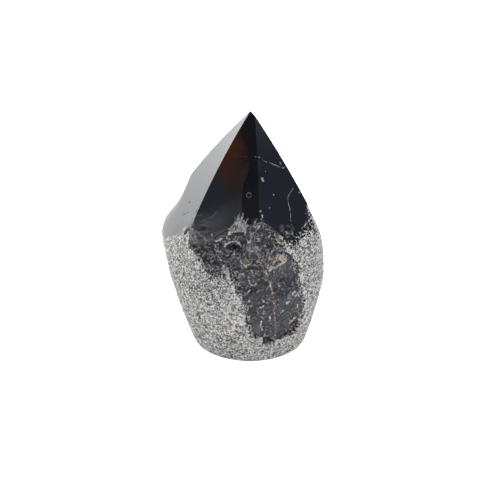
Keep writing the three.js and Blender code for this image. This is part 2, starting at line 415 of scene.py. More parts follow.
def distance_to_path(path, along, up):
    """Distance to the nearest stretch of a line through the points. One point alone is a spot."""
    path = np.asarray(path, float)
    ends = path[1:] if len(path) > 1 else path
    nearest = np.full(along.shape, np.inf)
    for (x0, y0), (x1, y1) in zip(path, ends):
        run, rise = x1 - x0, y1 - y0
        share = ((along - x0) * run + (up - y0) * rise) / max(run**2 + rise**2, TINY)
        share = np.clip(share, 0, 1)
        nearest = np.minimum(nearest, np.hypot(along - x0 - share * run, up - y0 - share * rise))
    return nearest


def depth_inside(outline, along, up):
    """Distance to the nearest edge of a closed outline, positive inside it. A point lies inside if
    the number of edges to its right is odd."""
    outline = np.asarray(outline, float)
    inside = np.zeros(along.shape, bool)
    for (x0, y0), (x1, y1) in zip(outline, np.roll(outline, -1, axis=0)):
        slant = (x1 - x0) / (y1 - y0) if y1 != y0 else 0.0
        inside ^= ((y0 > up) != (y1 > up)) & (along < x0 + slant * (up - y0))
    nearest = distance_to_path(np.concatenate([outline, outline[:1]]), along, up)
    return np.where(inside, nearest, -nearest)


along = np.radians(turn_between(azimuth, 0)) * GIRTH_RADIUS
ragged_along = with_noise(along, body_points, (0.55, 1.5, 21), (0.3, 0.7, 22))
ragged_up = with_noise(up, body_points, (0.5, 1.6, 23), (0.3, 0.7, 24))
window = depth_inside(WINDOW_OUTLINE, ragged_along, ragged_up)
print("share of the grid inside the window:", round(float((window > 0).mean()), 3))

# %% The scoops
# Scoops in the window's floor: along, up, radius, depth, degrees by which it faces up
WINDOW_SCOOPS = {
    "upper left flake": (-16, 42, 6.5, 0.8, 16),
    "left flake": (-8, 39, 5.5, 0.8, 8),
    "under the rim": (-5, 47.5, 4.6, 0.9, 22),
    "dark hollow": (-7, 44.8, 2.5, 1.6, 26),
    "dark hollow, right end": (-4.2, 44.3, 2.2, 1.3, 20),
    "upper middle flake": (3.5, 47.5, 6.5, 0.9, 24),
    "middle flake": (1.5, 41.5, 4.2, 0.5, 12),
    "upper right flake": (10, 45.5, 5.5, 0.9, 18),
    "step below the hollow": (-0.5, 34.2, 4.4, 1.3, -6),
    "step, right end": (3.6, 34.8, 3.6, 1.1, -4),
    "pale pocket, low end": (7.8, 39, 1.9, 0.9, 0),
    "pale pocket": (10.2, 40.5, 2.2, 1.1, 0),
    "pale pocket, high end": (12.6, 41.8, 1.5, 0.8, 4),
    "right flake": (13, 34.5, 7, 0.9, 4),
    "lower middle flake": (3, 26.5, 6.5, 0.5, -2),
    "low right flake": (14, 22, 8, 0.7, -8),
    "low left flake": (3.5, 16.5, 6, 0.45, -14),
    "low middle flake": (11, 13, 5, 0.4, -16),
    "low notch": (7.3, 8.4, 2.8, 1.5, -20),
    "low right hollow": (17.6, 15.5, 2.6, 1.6, -10),
    "low right hollow, low end": (18.2, 12.6, 1.8, 1.2, -14),
    "lowest right hollow": (15.6, 9.8, 2.1, 1.3, -16),
}
# Chips outside the window, cut straight into the skin
CHIPS = {
    "chip in the right face": (16.2, 48.5, 2.1, 0.11, 24),
    "chip in the right face, right end": (17.9, 48.3, 1.5, 0.08, 24),
    "back flake": (60, 37, 5.5, 1.1, 8),
    "back flake, low end": (64.5, 31.5, 3.8, 0.9, 2),
    "left back flake": (-61, 17, 4.5, 1, -18),
}


def scooped(radius, scoop, azimuth, up, floor):
    """The surface after one sphere is taken out. The sphere's radius is (r^2 + d^2) / 2d for a scoop
    of radius r and depth d, and a level line from the tip's vertical meets it first at
    e.c - sqrt((e.c)^2 - c.c + radius^2), with e the line's direction and c the way to its centre."""
    scoop_along, scoop_up, scoop_radius, depth, faces_up = scoop
    sphere = (scoop_radius**2 + depth**2) / (2 * depth)
    middle = math.degrees(scoop_along / GIRTH_RADIUS)
    tilt = math.radians(faces_up)
    skin = float(stone_radius(middle, scoop_up)) - floor
    out = skin + (sphere - depth) * math.cos(tilt)
    centre_up = scoop_up + (sphere - depth) * math.sin(tilt)
    toward = out * np.cos(np.radians(azimuth - middle))
    under_root = toward**2 - out**2 - (up - centre_up) ** 2 + sphere**2
    half_chord = np.sqrt(np.maximum(under_root, 0))
    entry, leaving = toward - half_chord, toward + half_chord
    cut = (under_root > 0) & (toward > 0) & (entry < radius) & (leaving > radius)
    return np.where(cut, entry, radius)


# %% [markdown]
# ## Marks in and round the window
#
# Cracks in the stone are filled with tan and cream mineral, iron has stained their edges, the deepest
# pits are black, and scars are pale. A few dark and rust marks are painted shade in hollows and under
# ledges, and a few pale ones painted highlights on their lips. Each mark is a short line with a half
# width. The mesh will carry how deep inside a mark of each colour a point lies, and the material makes
# a ragged edge of it.

# %% Tan and cream fillings
# Each mark is its half width, then its points: mm along the girth and mm up.
MARKS = {}
MARKS["tan"] = [
    (0.5, [(-21.9, 42), (-20.7, 42.8), (-19.1, 43.8), (-17.6, 44.6)]),
    (0.5, [(-17.6, 44.6), (-16.6, 44.9), (-14.7, 45.8), (-12.7, 46.8), (-11.3, 47.5)]),
    (0.6, [(-24.2, 42.9), (-23.4, 42), (-22.3, 41.9)]),
    (0.7, [(-2.2, 40.8), (-1.6, 40), (-1.3, 39.3)]),
    (0.9, [(7.8, 39.1), (8.9, 39.7), (10.2, 40.4)]),
    (0.6, [(11.2, 38.4), (9.8, 37.7), (8.7, 37.7)]),
    (0.5, [(10.7, 48.9), (11.4, 47.9)]),
    (0.6, [(10.9, 46.6), (11.6, 46), (12.8, 45.6)]),
    (0.4, [(12.5, 45.3), (13.2, 44.1)]),
    (0.5, [(16, 9.4), (17.9, 9.6)]),
    (0.35, [(-9.4, 43.7), (-8.6, 42.9)]),
    (0.35, [(14.5, 16.6), (17.2, 13.4)]),
    (0.6, [(7.3, 28.6), (8.1, 28.2)]),
    (0.45, [(13.4, 26.6), (13.7, 25.3), (14.5, 25.4)]),
]
MARKS["cream"] = [
    (0.5, [(-8.6, 48.6), (-7.6, 48.9)]),
    (0.4, [(-9.4, 46.8), (-9.1, 47.4)]),
    (0.35, [(-7.2, 49.1), (-5, 49.5), (-2.9, 49.5)]),
    (0.4, [(-2, 50.6), (-1.5, 49.6), (-2.2, 48.8)]),
    (0.36, [(-0.9, 40.6), (0, 39.7), (-0.8, 39), (-1.3, 38.6)]),
    (0.95, [(11.4, 40.4), (12.1, 39.7), (12.6, 39)]),
    (0.5, [(12.6, 40.9), (12.8, 40.4), (13.3, 39.4)]),
    (0.4, [(10.6, 41), (9.5, 40)]),
    (0.6, [(6.4, 38.2), (6.7, 37.3), (7.9, 37.5)]),
    (0.4, [(8.5, 38.8), (9.7, 39.4), (10.3, 40.2)]),
    (0.6, [(11.6, 47.5), (12, 46.9)]),
    (0.45, [(10.7, 46.4), (11.2, 45.6)]),
    (0.4, [(12, 45), (12.9, 45.6), (13.8, 44.6)]),
    (0.3, [(13.8, 44.6), (13.2, 43.4)]),
    (0.3, [(14.9, 44.3), (16.3, 44.3)]),
    (0.4, [(-26.4, 45), (-26.8, 44.4)]),
    (0.25, [(-17.2, 45), (-17.5, 44.1)]),
    (0.3, [(7, 31.9), (7, 31.2)]),
    (0.3, [(5.3, 36.5), (5.9, 34.9)]),
    (0.3, [(15.4, 13.7), (17.7, 14.3), (19.1, 15.4)]),
]
print("fillings:", len(MARKS["tan"]) + len(MARKS["cream"]))

# %% Rust stains, dark gaps and painted shade
MARKS["rust"] = [
    (0.3, [(-14.4, 46.1), (-13.1, 47.1), (-11.6, 48), (-10.1, 49.2)]),
    # this arc under the bruise's overhanging edge is painted shadow, in rust brown
    (0.38, [(-8.1, 47.4), (-7.1, 48), (-5.5, 48.6), (-3.2, 48.9)]),
    (0.3, [(-0.8, 50.9), (-1.1, 49.5)]),
    (0.85, [(-26.2, 46.5), (-27.3, 45.5), (-28.5, 44.1)]),
    (0.45, [(-25.3, 44.2), (-24.6, 42.9), (-23.2, 41.6)]),
    (0.3, [(-22.4, 42.7)]),
    (0.3, [(-22.9, 41.1), (-21.2, 40.5)]),
    (0.35, [(-2.6, 41.6), (-1.9, 41.7)]),
    (0.6, [(3.4, 38.5), (3.5, 37.5)]),
    (0.5, [(0.6, 53.9), (1.9, 54.2)]),
    (0.25, [(7, 39.3), (7.8, 40)]),
    (0.25, [(7.8, 38.4), (8.3, 38.5)]),
    (0.4, [(16.3, 8.6)]),
    (0.3, [(11.8, 9.3)]),
    (0.3, [(17.3, 10.5), (18.5, 10.4)]),
]
MARKS["dark"] = [
    # the dark hollow: painted shade inside it
    (0.75, [(-6.9, 43.8), (-4.2, 44.4)]),
    (0.5, [(-8.7, 44.1), (-7.4, 43.5)]),
    (0.5, [(-11.9, 43.2)]),
    (0.45, [(-10.8, 41.4), (-8.8, 40.6), (-7.3, 41.1)]),
    (0.35, [(-4.7, 44.1), (-3.6, 42.9)]),
    (0.4, [(-10, 42.5), (-8.6, 42)]),
    (0.35, [(-6.9, 42.5), (-4.9, 42.8)]),
    (0.3, [(-5.6, 41.8), (-4, 42.1)]),
    (0.3, [(-23.3, 40.9), (-21.6, 40.3), (-18.7, 39.8)]),
    (0.3, [(-18.4, 40.8)]),
    # painted shade in the cavity under the bruise's overhanging edge
    (0.35, [(-5.5, 48), (-2.9, 48.3)]),
    # painted shadow under the ledge of the step below the hollow
    (0.6, [(-1.2, 37.8), (0.4, 38.1), (2.4, 37.9)]),
    (0.3, [(2.8, 37.4)]),
    (0.22, [(10.8, 39.1), (11.8, 38.3)]),
    (0.22, [(9.9, 38.6), (8.5, 38.1)]),
    (0.35, [(13.1, 41.7), (14.5, 41), (15.2, 39.8), (15.9, 38.9)]),
    (0.3, [(10.6, 41.2), (12, 41.4)]),
    (0.25, [(12.4, 44.3), (12.6, 43.2), (13.2, 42.8)]),
    (0.3, [(9.1, 43.6), (9.7, 43.8)]),
    (0.5, [(0.7, 52.4), (1.9, 53.1), (2.9, 53.8)]),
    (0.2, [(6.2, 8.9), (6.6, 8), (9.8, 8.1)]),
    (0.45, [(16.6, 10.2), (18.4, 10.8), (19.4, 11.7)]),
    (0.4, [(18.7, 13.3), (19.7, 13.8)]),
    (0.35, [(20.4, 15.3), (21.5, 16)]),
    (0.2, [(12.5, 31.1), (11, 29.3), (9.2, 28.2)]),
    (0.2, [(2.5, 27.9), (4.7, 28), (6, 28.5)]),
    (0.2, [(2.2, 26.1), (3.7, 26.8)]),
    (0.22, [(3.2, 29.6), (4.7, 30.1)]),
    (0.4, [(5.6, 19.1)]),
    (0.4, [(6.7, 16.2)]),
    (0.35, [(7.8, 46.8), (8.1, 46.2)]),
    (0.3, [(6.5, 45.4), (7.4, 44.8)]),
]
print("stains and gaps:", len(MARKS["rust"]) + len(MARKS["dark"]))

# %% Pale scars, splinters and painted highlights
MARKS["pale"] = [
    # the white arc on the upper lip of the dark hollow: a painted highlight
    (0.36, [(-9.9, 44.1), (-9.4, 44.8), (-8.4, 45.2)]),
    (0.3, [(-8.4, 45.2), (-7.3, 45.5), (-5.6, 46), (-4.2, 45.6), (-3.7, 44.7)]),
    (0.22, [(-13.7, 44.2), (-14, 43)]),
    (0.3, [(-13.7, 45.1), (-12.7, 45.6), (-11.6, 46.2)]),
    (0.25, [(-13.2, 41.7), (-11.1, 42.3)]),
    (0.25, [(-11.1, 40.2), (-10.4, 39.1)]),
    (0.3, [(-5.7, 42.9), (-5.8, 42.5)]),
    (0.3, [(-9.5, 37.6), (-9.7, 36.7)]),
    (0.3, [(-3.2, 40.1), (-2.3, 39.6), (-1.6, 38.7)]),
    (0.25, [(-1.2, 47), (0, 46.4)]),
    (0.25, [(0.4, 47.1), (-0.8, 46)]),
    (0.22, [(-0.2, 44.4), (0.9, 43.5)]),
    (0.3, [(0.3, 42.8)]),
    (0.3, [(2.7, 44.9)]),
    (0.3, [(4.1, 44.7)]),
    (0.22, [(3.3, 47.7), (3.1, 46.9)]),
    # a painted glint beside the bruise
    (0.4, [(3.7, 51.3), (3.3, 50.7)]),
    (0.3, [(2, 51.3)]),
    (0.35, [(8.7, 45.3)]),
    (0.28, [(8.9, 43.9), (9.8, 44.1)]),
    (0.25, [(-3.1, 36.3), (-2.4, 35.9)]),
    (0.25, [(-5.3, 35.5), (-4.6, 36.3)]),
    (0.3, [(-8, 36.9), (-7.3, 35.8)]),
    (0.22, [(-4.9, 35.1), (-4.3, 34.3)]),
    (0.28, [(15, 26.6), (16.3, 27), (17.5, 26), (18.2, 24.4)]),
    (0.24, [(15.1, 26.2), (16.3, 25.3), (17.3, 25.5)]),
    (0.25, [(4.6, 34.1), (5.6, 33.2)]),
    (0.25, [(-0.1, 29.9), (-0.9, 29.1)]),
    (0.35, [(-0.2, 26.4)]),
    (0.22, [(4.2, 26.6), (4.8, 25.8)]),
    (0.27, [(10.1, 30.7), (10.7, 30)]),
    (0.25, [(12.6, 30.8)]),
    (0.25, [(10.8, 36.2)]),
    (0.22, [(6.6, 40), (7.4, 40.9)]),
    (0.36, [(6.6, 37.3), (7.3, 37)]),
    (0.33, [(8.2, 37.3), (10, 37.8), (11.9, 38.5)]),
    (0.22, [(7.6, 42.6), (8.4, 43.2), (9, 43.1)]),
    (0.25, [(4.1, 17.8), (3.7, 15.6), (4.7, 13.8)]),
    (0.3, [(3.5, 23.4), (4.8, 24)]),
    (0.22, [(6.7, 19.9), (7, 18.5)]),
    (0.22, [(11.2, 20.9), (12.2, 20.4)]),
    (0.25, [(13, 22.8), (13.2, 23.7), (14.3, 23.6)]),
    (0.28, [(18, 21.2), (18, 20.1)]),
    (0.22, [(20.1, 15.7), (21.1, 17)]),
    (0.35, [(19, 10.8), (20, 11)]),
    (0.3, [(5, 55.6), (4.3, 54.9)]),
    (0.13, [(14.5, 48.5), (15.7, 47.8), (17.2, 47), (18.5, 45.9)]),
    (0.08, [(13.3, 49.4), (14.2, 48.9)]),
    # the oval pit's lower rim: a painted highlight
    (0.2, [(-0.5, 34.4), (-0.2, 32.9), (0.4, 31.7), (1.5, 31.3), (2.1, 32.2)]),
    (0.35, [(13.2, 42.6), (13.9, 42.3), (14.9, 41.5)]),
    (0.2, [(-16.2, 47.4), (-15.4, 46.8)]),
    (0.3, [(-18.2, 45.3)]),
    (0.22, [(6.7, 7.5), (9.4, 7.5)]),
]
print("scars and splinters:", len(MARKS["pale"]))

# %% Haze and the vein
MARKS["hazy"] = [
    (0.7, [(-0.3, 34.2), (-0.2, 32.9), (0.5, 31.7), (1.4, 31.5), (2.2, 32.3), (2.3, 33.4)]),
    (0.35, [(1, 33.6), (1.1, 32.9)]),
    (1.0, [(7.6, 37.5), (8.6, 37.8), (10.4, 38.2), (11.9, 38.8)]),
    (0.8, [(16.4, 26), (17.2, 25.2)]),
    (1.1, [(2.5, 15.7), (2.8, 14.2)]),
    (0.6, [(13.3, 37.2), (11.1, 36.9)]),
    (0.6, [(19.9, 11.4), (20.5, 13.3)]),
    (0.4, [(15.4, 50), (17.2, 49.6), (18.5, 49.9)]),
    (0.45, [(17.3, 49.4), (17.6, 48.6)]),
    (0.8, [(-4, 47.1), (-2.8, 46.8)]),
    (0.35, [(18.6, 49.4), (19, 48)]),
    (0.9, [(-21, 43.5), (-18, 45), (-15.5, 46.3), (-12.5, 47.6), (-10.2, 48.6)]),
    (0.5, [(1.2, 52.8), (-1.2, 47.5)]),
]
MARKS["vein"] = [
    (0.3, [(0.2, 48.3), (0.9, 47.3), (1.2, 46.1), (1.9, 44.6), (2.8, 42.8), (3.2, 41.4)]),
    (0.38, [(3.2, 41.4), (3.5, 40), (4.2, 38.7), (4.8, 37.1), (5.7, 35.1), (6.3, 33.6)]),
    (0.34, [(6.3, 33.6), (7, 31.8), (7.3, 30), (7.7, 28.4)]),
    (0.31, [(7.7, 28.4), (7.9, 26.1), (8.2, 24.2), (8.3, 21.6), (8.7, 18.6)]),
    (0.31, [(8.7, 18.6), (9.6, 14.2), (10.3, 11.3), (10.3, 9.3)]),
]
print("stretches of the vein:", len(MARKS["vein"]))

# %% Scratches and pits in the polish
MARKS["scratch"] = [
    (0.22, [(-21.6, 50.1), (-20, 51.2), (-18.2, 52.2), (-16.4, 53.7)]),
    (0.3, [(-17.1, 53.6), (-16.3, 54)]),
    (0.2, [(-20.6, 50.7), (-18.8, 50.6), (-17.5, 50.4), (-17, 49.6)]),
    (0.2, [(-20.2, 50.7), (-18.7, 50), (-17.5, 49.4)]),
    (0.25, [(-21.9, 47.1), (-21, 48.3), (-20.3, 49.2)]),
    (0.25, [(-15.4, 47.5), (-13, 48.3), (-11.2, 49.2), (-9.8, 50)]),
    (0.2, [(-24.2, 51.5), (-23.2, 51.9), (-21.9, 52.5)]),
    (0.3, [(-22.4, 46.4), (-20.6, 47), (-18.6, 47.3), (-17.6, 47.9)]),
    (0.25, [(-21.2, 49.2), (-19.6, 49.8), (-18, 49.1)]),
]
MARKS["pit"] = [
    (0.65, [(-20.5, 48.3), (-19, 48.6)]),
    (0.35, [(-22.2, 47), (-20.8, 47.7)]),
    (0.25, [(-18.5, 50.2), (-17.9, 49.8)]),
    (0.25, [(-15.4, 47.4), (-14.8, 47)]),
    (0.3, [(-24.5, 48.5), (-24.8, 47.2)]),
    (0.5, [(-35.5, 52.4)]),
    (0.25, [(-27.5, 53.8)]),
    (0.25, [(-35.3, 47.7), (-33.9, 48.8)]),
    (0.22, [(-33, 49.3), (-31.8, 50)]),
    (0.22, [(-29.8, 47.9), (-29.5, 46.9)]),
    (0.18, [(-43.1, 61.2)]),
    (0.18, [(-39.1, 58.4)]),
    (0.18, [(-38.1, 56.5)]),
    (0.2, [(-37.8, 54.4)]),
    (0.25, [(-24, 59.2)]),
    (0.2, [(-24.3, 57)]),
    (0.3, [(-25, 53.3), (-25.1, 52.3)]),
    (0.2, [(-25.3, 51.2)]),
    (0.3, [(-25.7, 50.1)]),
]
print("scratches and pits:", len(MARKS["scratch"]) + len(MARKS["pit"]))

# %% A bruise whose splinters point up, a gritty corner, the black zone and the buffed shoulder
TUFT = [
    (-9.3, 49.7), (-8.2, 50.8), (-7, 51.9), (-6.2, 53.1), (-5.1, 54.3), (-4.2, 54.2), (-3.7, 53.7),
    (-2.7, 53.4), (-1.6, 52.8), (-0.4, 51.9), (-1.3, 50.9), (-1.4, 49.6), (-2.9, 49.2), (-5, 49.3),
    (-8.7, 49.3),
]
TUFT_SPIKES = [
    (0.32, [(-3.5, 53.8), (-3, 55.2)]),
    (0.24, [(0, 52.1), (1.2, 53.1), (2.9, 54.5)]),
    (0.3, [(-5.4, 53.7), (-4.8, 54.9)]),
    (0.2, [(-6.2, 53.1), (-6.9, 53.6)]),
    (0.2, [(-1.7, 53.3), (-0.8, 54.2)]),
]
GRITTY_CORNER = [
    (-27.1, 45.6), (-25.8, 46.9), (-23.4, 47.2), (-22, 47.6), (-20.4, 47.2), (-18.1, 46.5),
    (-16.5, 45.5), (-17.8, 44.3), (-21.2, 42.3), (-22.6, 41.1), (-23.5, 41.3), (-24.5, 42.4),
    (-25.4, 44.2),
]
# the front face is black to the right of this border, as far as the arris
BLACK_ZONE = [
    (-21, 78), (-12, 76.2), (-5.6, 74.9), (-1.2, 72.8), (-0.4, 70.6), (-0.9, 68.6), (-1.7, 66.6),
    (-4.4, 64.2), (-4.6, 62.2), (-4.2, 60.2), (-4.1, 58), (-3.4, 54.9), (-2.4, 48), (9, 48), (9, 84),
    (-21, 84),
]
# the wheel also buffed the shoulder below the left face
BUFFED_SHOULDER = [
    (-20.5, 53), (-21, 48), (-24, 46.9), (-27.1, 46.2), (-29.6, 44.2), (-32.5, 41.3),
    (-36.3, 38.4), (-40, 36.4), (-43, 35.2), (-47, 36.5), (-51, 40), (-53, 46), (-53, 60),
    (-42, 64),
]
# the arris above the window is ground down to its rim
GROUND_ARRIS = [(-1, 53.4), (3, 53.2), (6.3, 52.4), (9, 51.4), (12.5, 50), (12, 62), (-1, 62)]
print("points in the outlines:", len(TUFT), len(GRITTY_CORNER), len(BLACK_ZONE), len(BUFFED_SHOULDER))


# %% How deep in each mark every point lies
def depth_in_marks(marks, along, up):
    """Half width less the distance to the line, for the mark in which a point lies deepest."""
    depths = [half_width - distance_to_path(line, along, up) for half_width, line in marks]
    return np.max(depths, axis=0)


mark_along = with_noise(along, body_points, (0.12, 1.3, 51), (0.12, 0.6, 52))
mark_up = with_noise(up, body_points, (0.12, 1.3, 53), (0.12, 0.6, 54))
marked = {name: depth_in_marks(marks, mark_along, mark_up) for name, marks in MARKS.items()}
for name, depth in marked.items():
    print(f"points inside {name} marks:", int((depth > 0).sum()))


# %% How deep in each outline every point lies
SPLINTER = 0.8  # size of one splinter of the bruise across, mm
SPLINTER_SQUASH = np.array([1, 1, 0.35])  # heights are squashed before the noise, so splinters are long
SPLINTER_REACH = 0.4  # how far splinters move the bruise's edge, mm

splinters = value_noise(body_points * SPLINTER_SQUASH, SPLINTER, seed=55)
tuft = depth_inside(TUFT, mark_along, mark_up + SPLINTER_REACH * splinters)
tuft = np.maximum(tuft, depth_in_marks(TUFT_SPIKES, along, up))
gritty = depth_inside(GRITTY_CORNER, ragged_along, ragged_up)
buffed = depth_inside(BUFFED_SHOULDER, ragged_along, ragged_up)
ground_arris = depth_inside(GROUND_ARRIS, mark_along, mark_up)

# the front face ends at its arris with the right face, and so does its black zone
front_arris = arrises(row_up)[:, 2:3]
front_face = np.radians(front_arris - turn_between(azimuth, 0)) * plain_radius
slow_along = with_noise(along, body_points, (0.35, 3.0, 56))
black_zone = np.minimum(depth_inside(BLACK_ZONE, slow_along, up), front_face)
print("points inside the bruise:", int((tuft > 0).sum()))

# %% The window's floor
# the lower window and a strip under the dark hollow broke smooth, and the rest in many small flakes:
# along, up, half width, half height
SMOOTH_PARTS = ((11, 21, 12, 11), (-6.5, 39, 4.5, 1.6))
SMOOTHING = 0.75
BIG_FLAKE, BIG_FLAKE_RISE = 2.8, 0.28
SMALL_FLAKE, SMALL_FLAKE_RISE = 1.4, 0.22
CRUMB, CRUMB_RISE = 0.7, 0.1
# how far marks are sunk, or raised where negative, and how wide their slope is
MARK_SLOPES = {"dark": (0.5, 0.5), "rust": (0.2, 0.4), "pale": (-0.25, 0.35), "cream": (-0.125, 0.4)}

chart = np.stack([along, up, 0 * up], -1)
warp_along = with_noise(along, chart, (0.7, 2.6, 31), (0.25, 1.0, 32))
warp_up = with_noise(up, chart, (0.7, 2.6, 33), (0.25, 1.0, 34))
warp_azimuth = np.degrees(warp_along / GIRTH_RADIUS)

window_floor = np.minimum(body - WINDOW_DEPTH, faces_radius(azimuth, up, WINDOW_DEPTH))
for scoop in WINDOW_SCOOPS.values():
    window_floor = scooped(window_floor, scoop, warp_azimuth, warp_up, WINDOW_DEPTH)

smooth_part = np.max([
    np.exp(-(((along - middle) / wide) ** 4) - ((up - middle_up) / tall) ** 4)
    for middle, middle_up, wide, tall in SMOOTH_PARTS
], axis=0)
small_relief = (
    BIG_FLAKE_RISE * flakes(chart, BIG_FLAKE, seed=41)
    + SMALL_FLAKE_RISE * flakes(chart, SMALL_FLAKE, seed=42)
    + CRUMB_RISE * value_noise(chart, CRUMB, seed=43)
)
window_floor = window_floor + (1 - SMOOTHING * smooth_part) * small_relief
for name, (depth, slope) in MARK_SLOPES.items():
    window_floor = window_floor - depth * fade_in(marked[name], slope)
print("deepest scoop:", round(float((body - window_floor).max()), 2), "mm")

# %% Buffed shoulder, chips, bruise and pits
SHOULDER_ROUNDING = 1.2
SHOULDER_FADE = 0.8
BRUISE_DEPTH, SPLINTER_RISE, BRUISE_FADE = 0.3, 0.25, 0.6
PIT_DEPTH, PIT_FADE = 0.2, 0.25

# where the shoulder is buffed it has no grain and runs into the face in a smooth curve
shoulder = fade_in(buffed, SHOULDER_FADE)
rough_body = body + rind_relief * (1 - shoulder)
rounding = np.maximum(SHOULDER_ROUNDING * shoulder - np.abs(rough_body - faces), 0) ** 2
whole_skin = np.minimum(rough_body, faces) - rounding / (4 * SHOULDER_ROUNDING)
skin = whole_skin
for chip in CHIPS.values():
    skin = scooped(skin, chip, warp_azimuth, warp_up, 0.0)
chipped = whole_skin - skin
skin = skin - fade_in(tuft, BRUISE_FADE) * (BRUISE_DEPTH - SPLINTER_RISE * splinters)
skin = skin - PIT_DEPTH * fade_in(marked["pit"], PIT_FADE)
print("deepest chip:", round(float(chipped.max()), 2), "mm")

# %% Set the window's floor into the skin
WINDOW_SLOPE = 0.5  # width of the window's edge, mm
RIDGE_REACH = 2


def local_mean(values, reach):
    """Mean over the neighbours up to this many rows and columns away."""
    padded = np.pad(values, ((reach, reach), (0, 0)), mode="edge")
    steps = range(-reach, reach + 1)
    by_rows = sum(padded[reach + i : reach + i + len(values)] for i in steps) / len(steps)
    return sum(np.roll(by_rows, i, axis=1) for i in steps) / len(steps)


edge = fade_in(window, WINDOW_SLOPE)
edge = edge**2 * (3 - 2 * edge)
radius = skin + edge * (np.minimum(window_floor, skin) - skin)
ridge = radius - local_mean(radius, RIDGE_REACH)
print("deepest part of the window:", round(float((skin - radius).max()), 2), "mm")

# %% How far inside the polish each point lies
polish = np.maximum(np.maximum(rough_body - faces, buffed), ground_arris)
print("polished share of the grid:", round(float(((polish > 0) & (window < 0)).mean()), 3))

# %% [markdown]
# ## One closed mesh
#
# Rows and columns join into four-sided faces. The tip closes with a fan of triangles, and so does
# the base, after a few rings that lie flat on the table.

# %% Join the rows into a mesh
BASE_RINGS = np.array([0.06, 0.3, 0.55, 0.75, 0.88, 0.96, 0.99])


def grid_faces(rows, columns):
    """Faces between each row and the one above it, going round anticlockwise seen from outside."""
    here = np.arange(rows * columns).reshape(rows, columns)
    right = np.roll(here, -1, axis=1)
    quads = np.stack([here[:-1], right[:-1], right[1:], here[1:]], -1)
    return quads.reshape(-1, 4)


def fan_faces(ring, pole, flip):
    """Triangles from one ring of points to a pole."""
    after = np.roll(ring, -1)
    first, second = (after, ring) if flip else (ring, after)
    return np.stack([first, second, np.full(len(ring), pole)], -1)


foot = to_space(azimuth[0], radius[0], up[0])
foot_middle = foot.mean(axis=0)
rings = foot_middle + (foot - foot_middle) * BASE_RINGS[:, None, None]
walls = to_space(azimuth, radius, up)
rows_of_points = np.concatenate([rings, walls])
rows, columns = rows_of_points.shape[:2]
tip = np.array([TIP[0], TIP[1], HEIGHT])
points = np.concatenate([rows_of_points.reshape(-1, 3), [foot_middle, tip]])
foot_pole, tip_pole = len(points) - 2, len(points) - 1

quads = grid_faces(rows, columns)
first_ring = np.arange(columns)
last_ring = first_ring + (rows - 1) * columns
foot_fan = fan_faces(first_ring, foot_pole, True)
fans = np.concatenate([foot_fan, fan_faces(last_ring, tip_pole, False)])

stone_mesh = bpy.data.meshes.new("agate_stone")
stone_mesh.from_pydata((points * MM).tolist(), [], quads.tolist() + fans.tolist())
stone_mesh.shade_smooth()
triangles = 2 * len(quads) + len(fans)
print("stone:", len(points), "points,", triangles, "triangles")

# %% Give the mesh its borders and marks as attributes
FAR = 20.0  # a border further away than this, in mm, counts as this far
RIDGE_LIMIT = 0.5


def on_all_points(values, on_base, at_tip):
    """Adds the base's rings and the two poles to values that the walls' grid holds. On the base they
    are one number, or one for each ring."""
    rings_part = np.ones((len(BASE_RINGS), columns)) * np.reshape(on_base, (-1, 1))
    return np.concatenate([rings_part.ravel(), values.ravel(), [np.ravel(on_base)[0], at_tip]])


def add_attribute(name, values, on_base=0, at_tip=0):
    """One number a point, for the material to read."""
    values = on_all_points(values, on_base, at_tip)
    attribute = stone_mesh.attributes.new(name, "FLOAT", "POINT")
    attribute.data.foreach_set("value", values.astype(np.float32))
    print(f"attribute {name}: {values.min():.2f} to {values.max():.2f}")


depths = {"window": window, "tuft": tuft, "gritty": gritty, "black zone": black_zone}
depths["front face"] = front_face
depths.update((f"{name} mark", depth) for name, depth in marked.items())
for name, depth in depths.items():
    add_attribute(name, np.clip(depth, -FAR, FAR), -FAR, -FAR)
add_attribute("polish", np.clip(polish, -FAR, FAR), -FAR, FAR)
add_attribute("chipped", chipped)
add_attribute("ridge", np.clip(ridge, -RIDGE_LIMIT, RIDGE_LIMIT))
add_attribute("smooth part", smooth_part)
add_attribute("along", along)
add_attribute("sawn", -up, (1 - BASE_RINGS) * BODY_RADIUS[0], -HEIGHT)

# %% The way out of the stone at each point, with its bumps left out
plain = to_space(azimuth, plain_radius, up)
next_column = np.roll(plain, -1, axis=1) - np.roll(plain, 1, axis=1)
next_row = np.gradient(plain, axis=0)
outward_walls = np.cross(next_column, next_row)
outward_walls /= np.linalg.norm(outward_walls, axis=-1, keepdims=True)
down = np.tile([0.0, 0.0, -1.0], (len(BASE_RINGS) * columns, 1))
outward_all = np.concatenate([down, outward_walls.reshape(-1, 3), [[0, 0, -1], [0, 0, 1]]])
outward_attribute = stone_mesh.attributes.new("outward", "FLOAT_VECTOR", "POINT")
outward_attribute.data.foreach_set("vector", outward_all.astype(np.float32).ravel())
print("outward at the front, half way up:", outward_walls[len(up) // 2, columns // 3].round(2))

# %% Stand it in place of the CAD solid
stone = bpy.data.objects.new("agate_stone", stone_mesh)
bpy.context.scene.collection.objects.link(stone)
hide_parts("agate")
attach(stone, "root")
node_low, node_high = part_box("agate")
print("CAD stone's height:", round((node_high.z - node_low.z) / MM, 2), "mm")

# %% [markdown]
# ## The material's building blocks
#
# The finish is procedural: noise and distances in the stone's own coordinates, in millimetres. A few
# small helpers keep it readable. Each adds one node or a short chain and returns its output.


# %% Helpers for nodes
def start_material(name):
    """A new material with an empty node tree."""
    made = bpy.data.materials.new(name)
    made.use_nodes = True
    made.node_tree.nodes.clear()
    return made


agate = start_material("agate")
tree = agate.node_tree  # the helpers add their nodes to this tree


